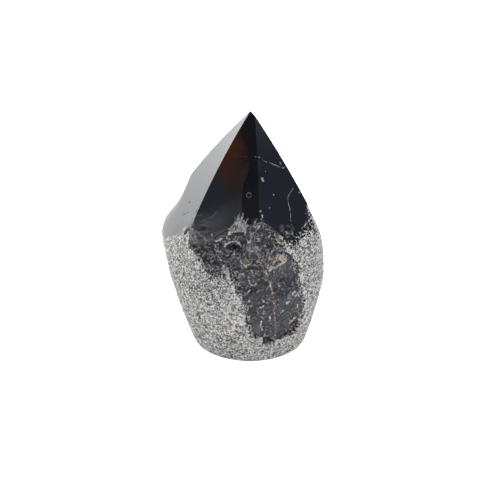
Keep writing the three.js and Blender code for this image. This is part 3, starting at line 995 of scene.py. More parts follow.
def add_node(kind, inputs=None, **settings):
    """One node with its settings. Inputs are values, or outputs of other nodes."""
    node = tree.nodes.new(kind)
    for name, value in settings.items():
        setattr(node, name, value)
    for socket, value in (inputs or {}).items():
        if isinstance(value, bpy.types.NodeSocket):
            tree.links.new(value, node.inputs[socket])
        else:
            node.inputs[socket].default_value = value
    return node


def maths(operation, *values, clamp=False):
    """A Math node."""
    inputs = dict(enumerate(values))
    return add_node("ShaderNodeMath", inputs, operation=operation, use_clamp=clamp).outputs[0]


def vectors(operation, *values, output=0):
    """A Vector Math node."""
    inputs = dict(enumerate(values))
    return add_node("ShaderNodeVectorMath", inputs, operation=operation).outputs[output]


def step(value, low, high):
    """A smooth step from 0 at low to 1 at high. With low above high it falls instead."""
    inputs = {"Value": value, "From Min": low, "From Max": high}
    return add_node("ShaderNodeMapRange", inputs, interpolation_type="SMOOTHSTEP").outputs[0]


def plus(base, amount, extra):
    """The base plus this amount of something extra."""
    return maths("MULTIPLY_ADD", extra, amount, base)


def both(*shares):
    """The product of shares: 1 only where all are."""
    return functools.reduce(lambda one, other: maths("MULTIPLY", one, other), shares)


def either(*shares):
    """The greatest of the shares."""
    return functools.reduce(lambda one, other: maths("MAXIMUM", one, other), shares)


def least(distances):
    """The least of the distances."""
    return functools.reduce(lambda one, other: maths("MINIMUM", one, other), distances)


def between(share, one, other):
    """A mix of two numbers: one at share 0, the other at share 1."""
    return add_node("ShaderNodeMix", {0: share, 2: one, 3: other}, data_type="FLOAT").outputs[0]


def attribute(name, output="Fac"):
    """A number, or with the output Vector a direction, that the mesh carries at each point."""
    return add_node("ShaderNodeAttribute", attribute_name=name).outputs[output]


# %% Helpers for colours
def colour(red, green, blue):
    """A colour from its values on screen, 0 to 255, by the screen's curve."""
    screen = [red / 255, green / 255, blue / 255]
    linear = [c / 12.92 if c <= 0.04045 else ((c + 0.055) / 1.055) ** 2.4 for c in screen]
    return (*linear, 1.0)


def blend_colours(share, one, other, mode="MIX"):
    """A mix of two colours."""
    inputs = {0: share, 6: one, 7: other}
    return add_node("ShaderNodeMix", inputs, data_type="RGBA", blend_type=mode).outputs[2]


def layered(ground, *layers):
    """A colour with others laid over it in turn, each as far as its share says."""
    for share, over in layers:
        ground = blend_colours(share, ground, over)
    return ground


print("mid grey, 128 on screen, is", round(colour(128, 128, 128)[0], 3), "to the shader")

# %% Coordinates and noise in millimetres
in_metres = add_node("ShaderNodeTexCoord").outputs["Object"]
to_mm = add_node("ShaderNodeVectorMath", {0: in_metres, "Scale": 1 / MM}, operation="SCALE")
place = to_mm.outputs[0]
outward = vectors("NORMALIZE", attribute("outward", "Vector"))
HALF = (0.5, 0.5, 0.5)


def noise(size, detail=2.0, roughness=0.5, distortion=0.0, where=None, stretch=None):
    """Noise from 0 to 1 whose features are about this many mm across. Most of it lies between 0.3
    and 0.7, so a step between two such values cuts it into patches."""
    field = place if where is None else where
    if stretch is not None:
        field = vectors("MULTIPLY", field, stretch)
    inputs = {
        "Vector": field, "Scale": 1 / size, "Detail": detail,
        "Roughness": roughness, "Distortion": distortion,
    }
    return add_node("ShaderNodeTexNoise", inputs).outputs["Fac"]


def uneven(size, detail=2.0, roughness=0.5):
    """Noise from -0.5 to 0.5."""
    return maths("SUBTRACT", noise(size, detail, roughness), 0.5)


def wobbled(field, size, amount):
    """The field moved by noise from -0.5 to 0.5 times the amount, so that what is drawn in it runs
    crooked."""
    inputs = {"Vector": field, "Scale": 1 / size, "Detail": 2.0}
    shift = add_node("ShaderNodeTexNoise", inputs).outputs["Color"]
    return vectors("MULTIPLY_ADD", vectors("SUBTRACT", shift, HALF), (amount,) * 3, field)


def distance_to_line(field, line):
    """Distance to a line on the stone through points given by azimuth and height. For a stretch from
    a to b the nearest place is a + (b - a) t, with t = (p - a).(b - a) / |b - a|^2 kept from 0 to 1."""
    places = [Vector(on_stone(*spot)) for spot in line]
    distances = []
    for start, end in zip(places[:-1], places[1:]):
        run = end - start
        to_start = vectors("SUBTRACT", tuple(start), field)
        share = vectors("DOT_PRODUCT", to_start, tuple(-run / run.length_squared), output=1)
        share = maths("MULTIPLY", share, 1.0, clamp=True)
        way = vectors("MULTIPLY_ADD", share, tuple(run), to_start)
        distances.append(vectors("LENGTH", way, output=1))
    return least(distances)


def distance_to_spots(field, spots):
    """Distance to the nearest of several spots on the stone, each given by its azimuth, height and
    radius, in radii."""
    distances = []
    for azimuth, up, radius in spots:
        way = vectors("SUBTRACT", field, on_stone(azimuth, up))
        distances.append(maths("DIVIDE", vectors("LENGTH", way, output=1), radius))
    return least(distances)


print("nodes so far:", len(tree.nodes))


# %% Short curved strokes
def strokes(cell, length, width, bend, shift, density=1.0):
    """Short curved strokes that lie in the surface, one near each of many scattered seeds. With x
    along the stroke and y across it from the seed, it is where (x / length)^2 + (y' / width)^2 < 1
    for y' = y + bend x^2. The density is the share of the seeds that have one."""
    field = vectors("ADD", place, shift)
    cells = add_node("ShaderNodeTexVoronoi", {"Vector": field, "Scale": 1 / cell}).outputs
    from_seed = vectors("SUBTRACT", field, cells["Position"])
    own = vectors("SUBTRACT", cells["Color"], HALF)
    lengthwise = vectors("NORMALIZE", vectors("CROSS_PRODUCT", own, outward))
    crosswise = vectors("CROSS_PRODUCT", lengthwise, outward)
    x = vectors("DOT_PRODUCT", from_seed, lengthwise, output=1)
    y = vectors("DOT_PRODUCT", from_seed, crosswise, output=1)
    y = plus(y, bend, maths("MULTIPLY", x, x))
    reach_along = maths("POWER", maths("DIVIDE", x, length), 2.0)
    reach_across = maths("POWER", maths("DIVIDE", y, width), 2.0)
    reach = maths("ADD", reach_along, reach_across)
    own_number = add_node("ShaderNodeSeparateXYZ", {0: cells["Color"]}).outputs["Z"]
    return both(step(reach, 1.0, 0.35), maths("LESS_THAN", own_number, density))


# by the size of their cells, their length, width, bend and shift
light_strokes = either(
    strokes(1.3, 0.75, 0.24, 0.5, (0, 0, 0)),
    strokes(1.2, 0.65, 0.22, -0.6, (7.3, 2.9, 5.1)),
)
print("nodes so far:", len(tree.nodes))

# %% The unrolled front, and the grain that all ragged borders share
CROOKED_SIZE, CROOKED_BY = 1.4, 0.6  # in mm, for thin lines in the polish
WORM_SIZE, WORM_TWIST = 0.9, 1.9
STROKE_TONE = 0.16  # how much a pale stroke adds to the grain's tone

height_mm = add_node("ShaderNodeSeparateXYZ", {0: place}).outputs["Z"]
along_mm = attribute("along")
window_mm = attribute("window")
unrolled = add_node("ShaderNodeCombineXYZ", {"X": along_mm, "Y": height_mm}).outputs[0]
crooked_place = wobbled(place, CROOKED_SIZE, CROOKED_BY)
worms = noise(WORM_SIZE, 1.0, distortion=WORM_TWIST)
grain_tone = plus(worms, STROKE_TONE, light_strokes)
print("nodes so far:", len(tree.nodes))

# %% [markdown]
# ## Polished agate
#
# Cut across, the agate is nearly black, with a sooty brown zone in the front face, and it turns bluish
# and then cloudy grey towards the rind. Polish shows the colour and adds a sharp reflection. Thin pale
# veins and specks of quartz cross the right face. All of them are drawn by their distance from lines
# and spots on the stone, because such lines stay sharp at any size and need no picture.

# %% Colours of the polished agate
BLACK = colour(16, 17, 22)
BROWN = colour(63, 34, 20)
RED_BROWN = colour(44, 34, 32)
BLUISH = colour(40, 41, 48)
DEEP_BLUE = colour(13, 14, 20)
CLOUDY_GREY_AND_SHEEN = colour(76, 76, 81)
PALE_VEIN = colour(172, 169, 164)
RED_LINE = colour(78, 50, 40)
SCRATCH = colour(96, 97, 104)
CHIP = colour(9, 11, 17)
# lines in the front face, by azimuth and height
BROWN_LINE = ((-51, 75.5), (-50, 72.5), (-50, 68.5))
RED_BROWN_LINE = ((-10, 69.5), (-20, 67), (-20, 64))
RED_BORDER = ((-41.7, 72), (-19.9, 71.7), (1.6, 72.1), (-6, 69.6), (-13.6, 66.5), (-15.3, 63))
print("the agate's black:", [round(c, 4) for c in BLACK[:3]])

# %% Zones of the front face
# Pairs in mm: where a zone starts, and where it is full. The first three are heights.
EDGE_SOFTENS = (69, 74)
TOP_BLACKENS = (68, 76)
RIGHT_PALES = (70, 86)
FRONT_EDGE = (-0.1, 0.1)
BROWN_REACH = (8.4, 0.0)
RED_BROWN_REACH = (6.4, 2.4)
RED_LINE_REACH = (0.3, 0.05)
CLOUD_REACH = (-11.5, -5.0)  # from the window's edge, negative outside it
CLOUD_THICKENS = (-6, -18)  # along the girth
SHARP_EDGE, SOFT_EDGE = 0.3, 1.6  # half width of the black zone's border, low down and high up
TOP_RAGGED = 5.0  # in mm, times noise from 0 to 1
SOOTY_SIZE, SOOTY_BY = 5, 2  # how the brown zones are bent, in mm
RED_LINE_SIZE, RED_LINE_BY = 3, 0.8
# shares that are left in the black zone, off the front face and at its right
BROWN_IN_BLACK, CLOUD_IN_BLACK, CLOUD_OFF_FRONT, CLOUD_AT_RIGHT = 0.1, 0.25, 0.06, 0.3
RED_LINE_STRENGTH = 0.5

sooty_place = wobbled(place, SOOTY_SIZE, SOOTY_BY)
black_edge = between(step(height_mm, *EDGE_SOFTENS), SHARP_EDGE, SOFT_EDGE)
black_share = step(maths("DIVIDE", attribute("black zone"), black_edge), -1.0, 1.0)
front_share = step(attribute("front face"), *FRONT_EDGE)
top_share = step(plus(height_mm, TOP_RAGGED, noise(3.0)), *TOP_BLACKENS)
brown_share = step(distance_to_line(sooty_place, BROWN_LINE), *BROWN_REACH)
red_brown_share = step(distance_to_line(sooty_place, RED_BROWN_LINE), *RED_BROWN_REACH)
red_line_place = wobbled(place, RED_LINE_SIZE, RED_LINE_BY)
red_line_share = step(distance_to_line(red_line_place, RED_BORDER), *RED_LINE_REACH)
# paler grey above the window's rim: partly the agate's cloudy zone, partly a painted reflection on the
# face's lower edge
cloud_and_sheen_share = both(
    step(window_mm, *CLOUD_REACH),
    step(noise(4.0, 3.0), -0.2, 0.5),
    between(black_share, 1.0, CLOUD_IN_BLACK),
    between(front_share, CLOUD_OFF_FRONT, 1.0),
    between(step(along_mm, *CLOUD_THICKENS), CLOUD_AT_RIGHT, 1.0),
)
right_colour = blend_colours(step(height_mm, *RIGHT_PALES), DEEP_BLUE, BLUISH)
agate_colour = layered(
    blend_colours(front_share, right_colour, BLUISH),
    (red_brown_share, RED_BROWN),
    (black_share, BLACK),
    (both(top_share, front_share), BLACK),
    (both(brown_share, between(black_share, 1.0, BROWN_IN_BLACK)), BROWN),
    (cloud_and_sheen_share, CLOUDY_GREY_AND_SHEEN),
    (both(red_line_share, step(noise(2.5), 0.4, 0.65), RED_LINE_STRENGTH), RED_LINE),
)
print("nodes so far:", len(tree.nodes))

# %% Veins, specks and a ring in the polish
# veins in the right face, by azimuth and height: the upper one, its branch and the lower one
VEINS = (
    ((9.2, 72.4), (15.5, 72.2), (22.8, 71.6), (27, 70.5), (34.5, 70), (42.4, 69.3), (52.5, 67.9),
     (61.8, 67.1)),
    ((59.6, 68.8), (62.2, 66.9)),
    ((62.7, 60.3), (55.1, 59.2), (50, 58.1), (47.7, 56.2), (47.3, 54.3), (45.2, 52.2), (44.3, 51.2)),
)
# specks of quartz: azimuth, height, radius
SPECKS = (
    (16.8, 66, 0.55), (17.6, 65.4, 0.5), (29.7, 60.4, 0.25), (20.7, 57.1, 0.25), (24.7, 67.7, 0.16),
    (67.5, 58.4, 0.3), (9.9, 57.1, 0.4), (11.1, 55.6, 0.45), (60.5, 67, 0.35),
)
RING_MIDDLE, RING_RADIUS = (-1.6, 61.1), 0.85
# Where each starts and where it is full: distance from a line in mm, distance from a speck in its
# radii, depth inside a mark in mm.
VEIN_EDGE, RING_EDGE = (0.24, 0.04), (0.24, 0.05)
SPECK_EDGE = (1.1, 0.6)
SCRATCH_EDGE, PIT_EDGE = (-0.15, 0.25), (0.0, 0.15)
RING_STRENGTH, SCRATCH_STRENGTH = 0.4, 0.75

vein_distance = least([distance_to_line(crooked_place, vein) for vein in VEINS])
vein_share = both(step(vein_distance, *VEIN_EDGE), step(noise(1.1), 0.38, 0.58))
speck_share = step(distance_to_spots(wobbled(place, 0.6, 0.4), SPECKS), *SPECK_EDGE)
from_middle = vectors("LENGTH", vectors("SUBTRACT", crooked_place, on_stone(*RING_MIDDLE)), output=1)
from_ring = maths("ABSOLUTE", maths("SUBTRACT", from_middle, RING_RADIUS))
ring_share = both(step(from_ring, *RING_EDGE), step(noise(0.9), 0.32, 0.52))
scratched = step(attribute("scratch mark"), *SCRATCH_EDGE)
pitted = step(attribute("pit mark"), *PIT_EDGE)
agate_colour = layered(
    agate_colour,
    (either(vein_share, speck_share, both(ring_share, RING_STRENGTH)), PALE_VEIN),
    (both(scratched, SCRATCH_STRENGTH), SCRATCH),
    (pitted, BLACK),
)
print("nodes so far:", len(tree.nodes))

# %% [markdown]
# ## Broken agate
#
# Where the rind broke away the agate is nearly black too, but dull, and covered with fine pale
# splinters, thickest in the upper half. The lower part broke smooth, with fine slanting ripples.
# Thousands of splinters modelled one by one would need a far finer mesh, so they are short strokes in
# the colour, with a low bump.

# %% Colours of the broken agate
DARK_BREAK = colour(22, 19, 27)
LIGHT_BREAK = colour(66, 63, 71)
SPLINTER_GREY = colour(197, 197, 204)
TAN = colour(128, 115, 102)
CREAM = colour(230, 220, 208)
RUST = colour(58, 41, 35)
GRIT_GREY = colour(96, 96, 101)
BLACK_AND_SHADE = colour(17, 15, 21)
PALE = colour(214, 215, 216)
BRUISE_DARK = colour(86, 86, 90)
BRUISE_LIGHT = colour(194, 194, 197)
HAZE = colour(98, 95, 95)
print("a splinter's grey:", [round(c, 3) for c in SPLINTER_GREY[:3]])

# %% Ground and ripples of the break
RIPPLES = 0.6  # mm from one ripple to the next
RIPPLE_SLANT = math.radians(-47)
RIPPLE_STRETCH = (0.25, 1.3, 1.0)  # long along the slant, narrow across it
SWELLS = 0.5  # how much slow noise counts in the ground's tone
LIGHT_IN_SMOOTH = 0.5  # how much of the ground's lighter tone the smooth part keeps
GAP_STRENGTH, SMOOTH_STRENGTH, RIPPLE_STRENGTH = 0.85, 0.9, 0.18

ridge_mm = attribute("ridge")
smooth_share = attribute("smooth part")
break_tone = plus(noise(2.0, 3.0, 0.62), SWELLS, uneven(6.0, 1.0))
break_tone = both(step(break_tone, 0.46, 0.62), between(smooth_share, 1.0, LIGHT_IN_SMOOTH))
gaps = step(noise(0.9, roughness=0.6), 0.43, 0.34)
slanted = add_node(
    "ShaderNodeVectorRotate", {"Vector": unrolled, "Angle": RIPPLE_SLANT}, rotation_type="Z_AXIS"
)
ripples = noise(RIPPLES, 1.0, distortion=0.4, where=slanted.outputs[0], stretch=RIPPLE_STRETCH)
break_colour = layered(
    blend_colours(break_tone, DARK_BREAK, LIGHT_BREAK),
    (between(smooth_share, both(gaps, GAP_STRENGTH), SMOOTH_STRENGTH), BLACK_AND_SHADE),
    (both(step(ripples, 0.5, 0.7), smooth_share, RIPPLE_STRENGTH), SPLINTER_GREY),
)
print("nodes so far:", len(tree.nodes))

# %% Splinters, flecks and lit edges of the break
MORE_SPLINTERS = (28, 44)  # heights between which they grow thick
LIT_RIDGE = (0.03, 0.14)  # height of an edge above what lies round it
# how strong splinters are low down, high up, between their clumps and in the smooth part
LOW_STRENGTH, HIGH_STRENGTH, BETWEEN_CLUMPS, SPLINTERS_IN_SMOOTH = 0.3, 0.6, 0.12, 0.35
FLECK_STRENGTH, FLECKS_IN_SMOOTH = 0.8, 0.6
LIT_STRENGTH, LIT_STRENGTH_IN_SMOOTH = 0.6, 0.3

high_share = step(height_mm, *MORE_SPLINTERS)
clumps = step(noise(3.0), 0.4, 0.62)
# strokes by the size of their cells, their length, width, bend and shift
splinter_share = either(
    strokes(1.5, 0.8, 0.16, 0.6, (3.1, 8.2, 1.7), density=0.7),
    both(strokes(1.2, 0.6, 0.15, -0.8, (9.4, 4.6, 2.2), density=0.8), high_share),
    both(strokes(2.2, 1.1, 0.2, 0.3, (5.7, 1.3, 8.8), density=0.7), high_share),
)
splinter_amount = both(
    between(high_share, LOW_STRENGTH, HIGH_STRENGTH),
    between(clumps, BETWEEN_CLUMPS, 1.0),
    between(smooth_share, 1.0, SPLINTERS_IN_SMOOTH),
)
fleck_noise = plus(noise(0.75, 1.5, distortion=0.6), 0.25, noise(4.0))
flecks = both(step(fleck_noise, 0.72, 0.84), between(smooth_share, 1.0, FLECKS_IN_SMOOTH))
# lit edges: a painted highlight on the raised edges of the flakes
lit_edges = both(
    step(ridge_mm, *LIT_RIDGE),
    step(noise(0.9), 0.45, 0.62),
    between(smooth_share, LIT_STRENGTH, LIT_STRENGTH_IN_SMOOTH),
)
break_colour = layered(
    break_colour,
    (both(splinter_share, splinter_amount), SPLINTER_GREY),
    (both(flecks, FLECK_STRENGTH), SPLINTER_GREY),
    (lit_edges, SPLINTER_GREY),
)
print("nodes so far:", len(tree.nodes))

# %% The coloured marks
MARK_RAGGED = 1.3  # noise from -0.5 to 0.5 times this moves the edge of a mark, mm
MARK_EDGE = (0.0, 0.16)
HAZE_EDGE = (0.0, 0.4)
VEIN_CORE = (0.22, 0.4)
HAZE_STRENGTH, CORE_STRENGTH = 0.65, 0.7
ragged_edge = maths("MULTIPLY", uneven(0.6, 2.0, 0.6), MARK_RAGGED)


def mark_share(name, edge=MARK_EDGE):
    """Where a mark of this name lies, with a ragged edge."""
    return step(maths("ADD", attribute(f"{name} mark"), ragged_edge), *edge)


mottle = noise(0.6, roughness=0.6, distortion=0.6)
mottled_tan = blend_colours(step(mottle, 0.4, 0.56), RUST, TAN)
mottled_cream = layered(TAN, (step(mottle, 0.42, 0.54), CREAM), (step(mottle, 0.4, 0.34), RUST))
vein_core = both(mark_share("vein", VEIN_CORE), CORE_STRENGTH)
# from the lowest to the topmost
MARK_LAYERS = (
    (either(mark_share("tan"), mark_share("vein")), mottled_tan),
    (both(mark_share("hazy", HAZE_EDGE), HAZE_STRENGTH), HAZE),
    # rust: stains, and one arc of painted shadow under the bruise
    (mark_share("rust"), RUST),
    # dark marks: black, and painted shade in hollows and under ledges
    (mark_share("dark"), BLACK_AND_SHADE),
    (either(mark_share("cream"), vein_core), mottled_cream),
    # pale: scars and splinters, and painted highlights on lips and rims
    (mark_share("pale"), PALE),
)
print("nodes so far:", len(tree.nodes))

# %% [markdown]
# ## Rind
#
# Seen close, the rind is salt and pepper: short pale strokes of quartz on a darker ground, with
# beige and bluish tints. The mesh already has the bumps, and the colour reads from it how far each one
# stands out: raised grains get a painted highlight and pits a painted shade, so that tone and relief
# agree. The spread from dark to light also stands in part for the grains' tiny shadows.

# %% Colour of the rind
RIND_DARK = colour(55, 57, 61)
RIND_MID = colour(146, 145, 144)
RIND_LIGHT = colour(250, 247, 243)
BEIGE = colour(255, 249, 240)
BLUE_GREY = colour(243, 247, 252)
SHEEN_WHITE = colour(206, 205, 203)
BRIGHTEST_RIDGE = 0.18  # ridges higher than this, in mm, are no paler
RIDGE_HIGHLIGHT_AND_SHADE, PATCH_TONE, MOTTLE_TONE = 0.5, 0.16, 0.14
# the band along the girth that gets a painted sheen: the rind lit from behind at the right
SHEEN_STARTS, SHEEN_ENDS = (24, 31), (62, 44)  # mm along the girth
SHEEN_STRENGTH = 0.35

# paler on raised grains and darker in hollows: painted highlight and shade that follow the mesh's
# relief
rind_tone = plus(grain_tone, RIDGE_HIGHLIGHT_AND_SHADE, maths("MINIMUM", ridge_mm, BRIGHTEST_RIDGE))
rind_tone = plus(rind_tone, PATCH_TONE, uneven(4.0))
rind_tone = plus(rind_tone, MOTTLE_TONE, uneven(1.8, 1.0))
rind_colour = blend_colours(step(rind_tone, 0.38, 0.53), RIND_DARK, RIND_MID)
rind_colour = blend_colours(step(rind_tone, 0.51, 0.7), rind_colour, RIND_LIGHT)
tint = noise(1.7)
rind_colour = blend_colours(step(tint, 0.5, 0.66), rind_colour, BEIGE, "MULTIPLY")
rind_colour = blend_colours(step(tint, 0.5, 0.34), rind_colour, BLUE_GREY, "MULTIPLY")
# paler and flatter on the right side: a painted sheen of the rind lit from behind at the right
painted_sheen = both(step(along_mm, *SHEEN_STARTS), step(along_mm, *SHEEN_ENDS), SHEEN_STRENGTH)
rind_colour = blend_colours(painted_sheen, rind_colour, SHEEN_WHITE)
print("nodes so far:", len(tree.nodes))

# %% [markdown]
# ## One surface from several finishes
#
# Each finish has a share from 0 to 1 at every point, which comes from how deep inside its border the
# point lies. Borders drawn as clean lines would look printed, so the grain moves them all, as rind
# crumbles away grain by grain. The colours are then laid over each other, from the rind through the
# polish and the break to the marks and the sawn base. Relief too fine for the mesh goes into a bump.

# %% Where each finish lies
# each border: how far the grain moves it, then where its finish starts and where it is full, mm
POLISH_BORDER = (-2.2, -0.02, 0.04)
CHIP_BORDER = (0.1, 0.05, 0.09)
BRUISE_BORDER = (-1.0, -0.1, 0.2)
GRIT_BORDER = (-1.5, -0.3, 0.5)
WINDOW_BORDER = (-0.1, 0.3)
WINDOW_RAGGED_RIND, WINDOW_RAGGED_POLISH = -7.0, -2.5
WINDOW_WAVES = 0.35  # how much slower noise counts in the window's border
DEEP_CHIP = (0.2, 0.3)
SAWN_RAGGED, SAWN_BORDER = 2.5, (0.9, 1.3)
LEVEL_TONE = 0.55  # grain of this tone leaves a border in its place

chip_mm = attribute("chipped")
border_noise = maths("SUBTRACT", grain_tone, LEVEL_TONE)


def inside(depth, ragged, starts, full):
    """0 where the depth inside a border, moved by the grain, is less than starts, and 1 from full
    on."""
    return step(plus(depth, ragged, border_noise), starts, full)


polished = inside(attribute("polish"), *POLISH_BORDER)
chipped_share = inside(chip_mm, *CHIP_BORDER)
bruised = inside(attribute("tuft"), *BRUISE_BORDER)
grit_share = inside(attribute("gritty"), *GRIT_BORDER)
window_noise = plus(border_noise, WINDOW_WAVES, uneven(2.4))
window_ragged = between(polished, WINDOW_RAGGED_RIND, WINDOW_RAGGED_POLISH)
broken = either(
    step(plus(window_mm, window_ragged, window_noise), *WINDOW_BORDER),
    both(chipped_share, between(polished, 1.0, 0.0)),
    step(chip_mm, *DEEP_CHIP),
)
sawn = step(plus(attribute("sawn"), SAWN_RAGGED, uneven(1.5, 3.0)), *SAWN_BORDER)
print("nodes so far:", len(tree.nodes))

# %% Colours of the sawn base, the bruise and the gritty corner
SAWN_DARK = colour(62, 61, 62)
SAWN_LIGHT = colour(92, 90, 89)
SAW_STRETCH = (0.06, 1.0, 1.0)  # saw marks run from left to right
BRUISE_STRETCH = (1.0, 1.0, 0.5)  # its splinters point up
SAW_STRENGTH, GRIT_SPLINTERS, CHIP_SPLINTERS = 0.25, 0.3, 0.1

saw_marks = noise(0.8, stretch=SAW_STRETCH)
sawn_colour = layered(
    SAWN_DARK,
    (step(noise(9.0, 4.0), 0.4, 0.65), SAWN_LIGHT),
    (both(step(saw_marks, 0.5, 0.7), SAW_STRENGTH), SAWN_LIGHT),
)
bruise_tone = noise(0.6, roughness=0.6, distortion=0.5, stretch=BRUISE_STRETCH)
bruise_colour = blend_colours(step(bruise_tone, 0.36, 0.64), BRUISE_DARK, BRUISE_LIGHT)
grit_colour = layered(
    DARK_BREAK,
    (step(noise(1.2, 3.0, 0.6), 0.38, 0.62), GRIT_GREY),
    (both(splinter_share, GRIT_SPLINTERS), SPLINTER_GREY),
)
chip_colour = blend_colours(both(splinter_share, CHIP_SPLINTERS), CHIP, SPLINTER_GREY)
print("nodes so far:", len(tree.nodes))

# %% Colour and roughness of the whole surface
RIND_ROUGH, POLISH_ROUGH, CHIP_ROUGH = 0.75, 0.06, 0.2
BREAK_ROUGH, SMOOTH_BREAK_ROUGH = 0.38, 0.45
GRIT_ROUGH, DULL_ROUGH = 0.42, 0.6

surface_colour = layered(
    rind_colour,
    (polished, layered(agate_colour, (chipped_share, chip_colour))),
    (broken, break_colour),
    (bruised, bruise_colour),
    (grit_share, grit_colour),
    *MARK_LAYERS,
    (sawn, sawn_colour),
)
surface_roughness = between(polished, RIND_ROUGH, between(chipped_share, POLISH_ROUGH, CHIP_ROUGH))
break_roughness = between(smooth_share, BREAK_ROUGH, SMOOTH_BREAK_ROUGH)
surface_roughness = between(broken, surface_roughness, break_roughness)
surface_roughness = between(grit_share, surface_roughness, GRIT_ROUGH)
dull = either(bruised, sawn, both(pitted, polished))
surface_roughness = between(dull, surface_roughness, DULL_ROUGH)
print("nodes so far:", len(tree.nodes))

# %% Relief finer than the mesh
AGATE_IOR = 1.54
# heights in mm
GRAIN_HEIGHT, BREAK_HEIGHT, SPLINTER_HEIGHT = 0.45, 0.45, 0.1
RIPPLE_HEIGHT, SAW_HEIGHT = 0.13, 0.08

grain_height = both(grain_tone, GRAIN_HEIGHT)
break_height = plus(both(splinter_share, SPLINTER_HEIGHT), BREAK_HEIGHT, noise(1.0, 2.0, 0.55))
break_height = between(smooth_share, break_height, both(ripples, RIPPLE_HEIGHT))
height = between(polished, grain_height, 0.0)
height = between(broken, height, break_height)
height = between(bruised, height, grain_height)
height = between(sawn, height, both(saw_marks, SAW_HEIGHT))
bump = add_node("ShaderNodeBump", {"Strength": 1.0, "Distance": MM, "Height": height})

shader = add_node("ShaderNodeBsdfPrincipled", {
    "Base Color": surface_colour,
    "Roughness": surface_roughness,
    "IOR": AGATE_IOR,
    "Normal": bump.outputs["Normal"],
})
add_node("ShaderNodeOutputMaterial", {"Surface": shader.outputs["BSDF"]})
stone_mesh.materials.append(agate)
print("material nodes:", len(tree.nodes))

# %% [markdown]
# ## Floor and light
#
# The stone stands on white, lit like a product photo: a big soft light above, one behind at the
# right, a weak bluish one at the right, and a soft front light for the rind. The room in front stays
# dim, so that the front face reflects almost nothing.

# %% The floor
FLOOR_HALF = 6.0  # from its middle to a side, in m
FLOOR_GREY = (0.85, 0.85, 0.85, 1)
FLOOR_GLOW = 0.4
FLOOR_GLOW_TO_CAMERA = 1.1
WHITE = (1, 1, 1, 1)


def painted_sheet(name, corners, paint):
    """One painted four-sided face."""
    mesh = bpy.data.meshes.new(name)
    mesh.from_pydata(corners, [], [(0, 1, 2, 3)])
    mesh.materials.append(paint)
    sheet = bpy.data.objects.new(name, mesh)
    bpy.context.scene.collection.objects.link(sheet)
    return sheet


floor_paint = start_material("floor white")
tree = floor_paint.node_tree
# overexposed to the camera, as in a product photo, and only a pale floor to the stone
seen_directly = add_node("ShaderNodeLightPath").outputs["Is Camera Ray"]
floor_shader = add_node("ShaderNodeBsdfPrincipled", {
    "Base Color": FLOOR_GREY,
    "Roughness": 1.0,
    "Specular IOR Level": 0.0,
    "Emission Color": WHITE,
    "Emission Strength": between(seen_directly, FLOOR_GLOW, FLOOR_GLOW_TO_CAMERA),
})
add_node("ShaderNodeOutputMaterial", {"Surface": floor_shader.outputs["BSDF"]})
corner_signs = ((-1, -1), (1, -1), (1, 1), (-1, 1))
floor_corners = [(x * FLOOR_HALF, y * FLOOR_HALF, 0) for x, y in corner_signs]
floor = painted_sheet("floor", floor_corners, floor_paint)
print("floor across, in m:", floor.dimensions.x)

# %% Soft lights
LIT_PLACE = Vector((0, 0, 0.045))  # in m
PURE_WHITE = (1, 1, 1)
# direction from the stone, distance, width and height in m, radiance, tint
LIGHTS = {
    "top light": ((0, 0.35, 1), 0.9, 1.0, 0.8, 2.2, PURE_WHITE),
    "back right card": ((0.75, 0.6, 0.15), 0.7, 0.4, 0.6, 3.5, PURE_WHITE),
    "right card": ((0.9, -0.2, 0.4), 0.7, 0.5, 0.5, 0.28, (0.6, 0.7, 1.0)),
    "front light": ((0.15, -0.8, 0.62), 0.9, 0.25, 0.25, 10.0, PURE_WHITE),
}


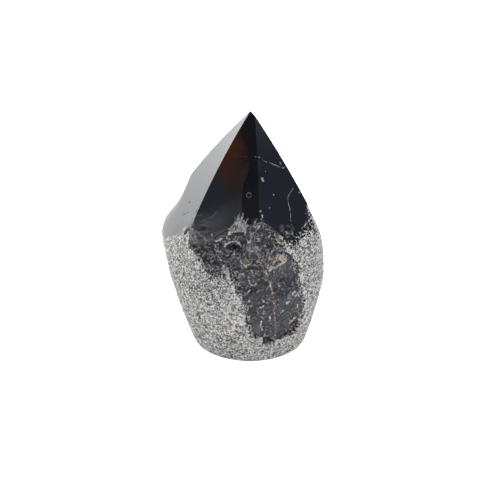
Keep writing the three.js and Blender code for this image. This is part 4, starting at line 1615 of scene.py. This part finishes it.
def soft_light(name, direction, distance, width, height, radiance, tint):
    """A flat light that faces the stone's middle. Its power is its radiance times pi times its
    area, and the camera doesn't see it."""
    data = bpy.data.lights.new(name, "AREA")
    data.shape = "RECTANGLE"
    data.size = width
    data.size_y = height
    data.energy = radiance * math.pi * width * height
    data.color = tint
    light = bpy.data.objects.new(name, data)
    toward = Vector(direction).normalized()
    light.location = LIT_PLACE + toward * distance
    light.rotation_euler = toward.to_track_quat("Z", "Y").to_euler()
    light.visible_camera = False
    bpy.context.scene.collection.objects.link(light)
    print(f"{name}: {data.energy:.2f} W")


for light_name, settings in LIGHTS.items():
    soft_light(light_name, *settings)


# %% [markdown]
# The left face mirrors what stands low behind it: a white card on the floor, over three times as
# bright at its top as at its foot. Its glow at height h is the glow at its foot plus the rise times
# h squared.

# %% The card behind on the left
# in metres
CARD_AWAY = 0.2
CARD_HALF_WIDTH = 0.13
CARD_HEIGHT = 0.16
CARD_AZIMUTH = math.radians(-136)
CARD_WHITE = (0.97, 0.985, 1.0, 1)
CARD_GLOW = 2.1
CARD_RISE = 190.0  # more glow per square metre of height

card_paint = start_material("glowing card")
tree = card_paint.node_tree
card_place = add_node("ShaderNodeTexCoord").outputs["Object"]
card_up = add_node("ShaderNodeSeparateXYZ", {0: card_place}).outputs["Z"]
card_glow = plus(CARD_GLOW, CARD_RISE, both(card_up, card_up))
card_shader = add_node("ShaderNodeEmission", {"Color": CARD_WHITE, "Strength": card_glow})
add_node("ShaderNodeOutputMaterial", {"Surface": card_shader.outputs["Emission"]})

card_corners = [(x * CARD_HALF_WIDTH, 0, max(z, 0) * CARD_HEIGHT) for x, z in corner_signs]
card = painted_sheet("back left card", card_corners, card_paint)
card.location = (CARD_AWAY * math.sin(CARD_AZIMUTH), -CARD_AWAY * math.cos(CARD_AZIMUTH), 0)
card.rotation_euler.z = CARD_AZIMUTH
card.visible_camera = False
print("card stands at, in mm:", [round(side / MM) for side in card.location])

# %% The dim room
ROOM_BLUE = (0.85, 0.92, 1, 1)
ROOM_GLOW = 0.1

world = bpy.data.worlds.new("studio")
world.use_nodes = True
background = world.node_tree.nodes["Background"]
background.inputs["Color"].default_value = ROOM_BLUE
background.inputs["Strength"].default_value = ROOM_GLOW
bpy.context.scene.world = world
bpy.context.scene.view_settings.view_transform = "Standard"
print("room glow:", ROOM_GLOW)
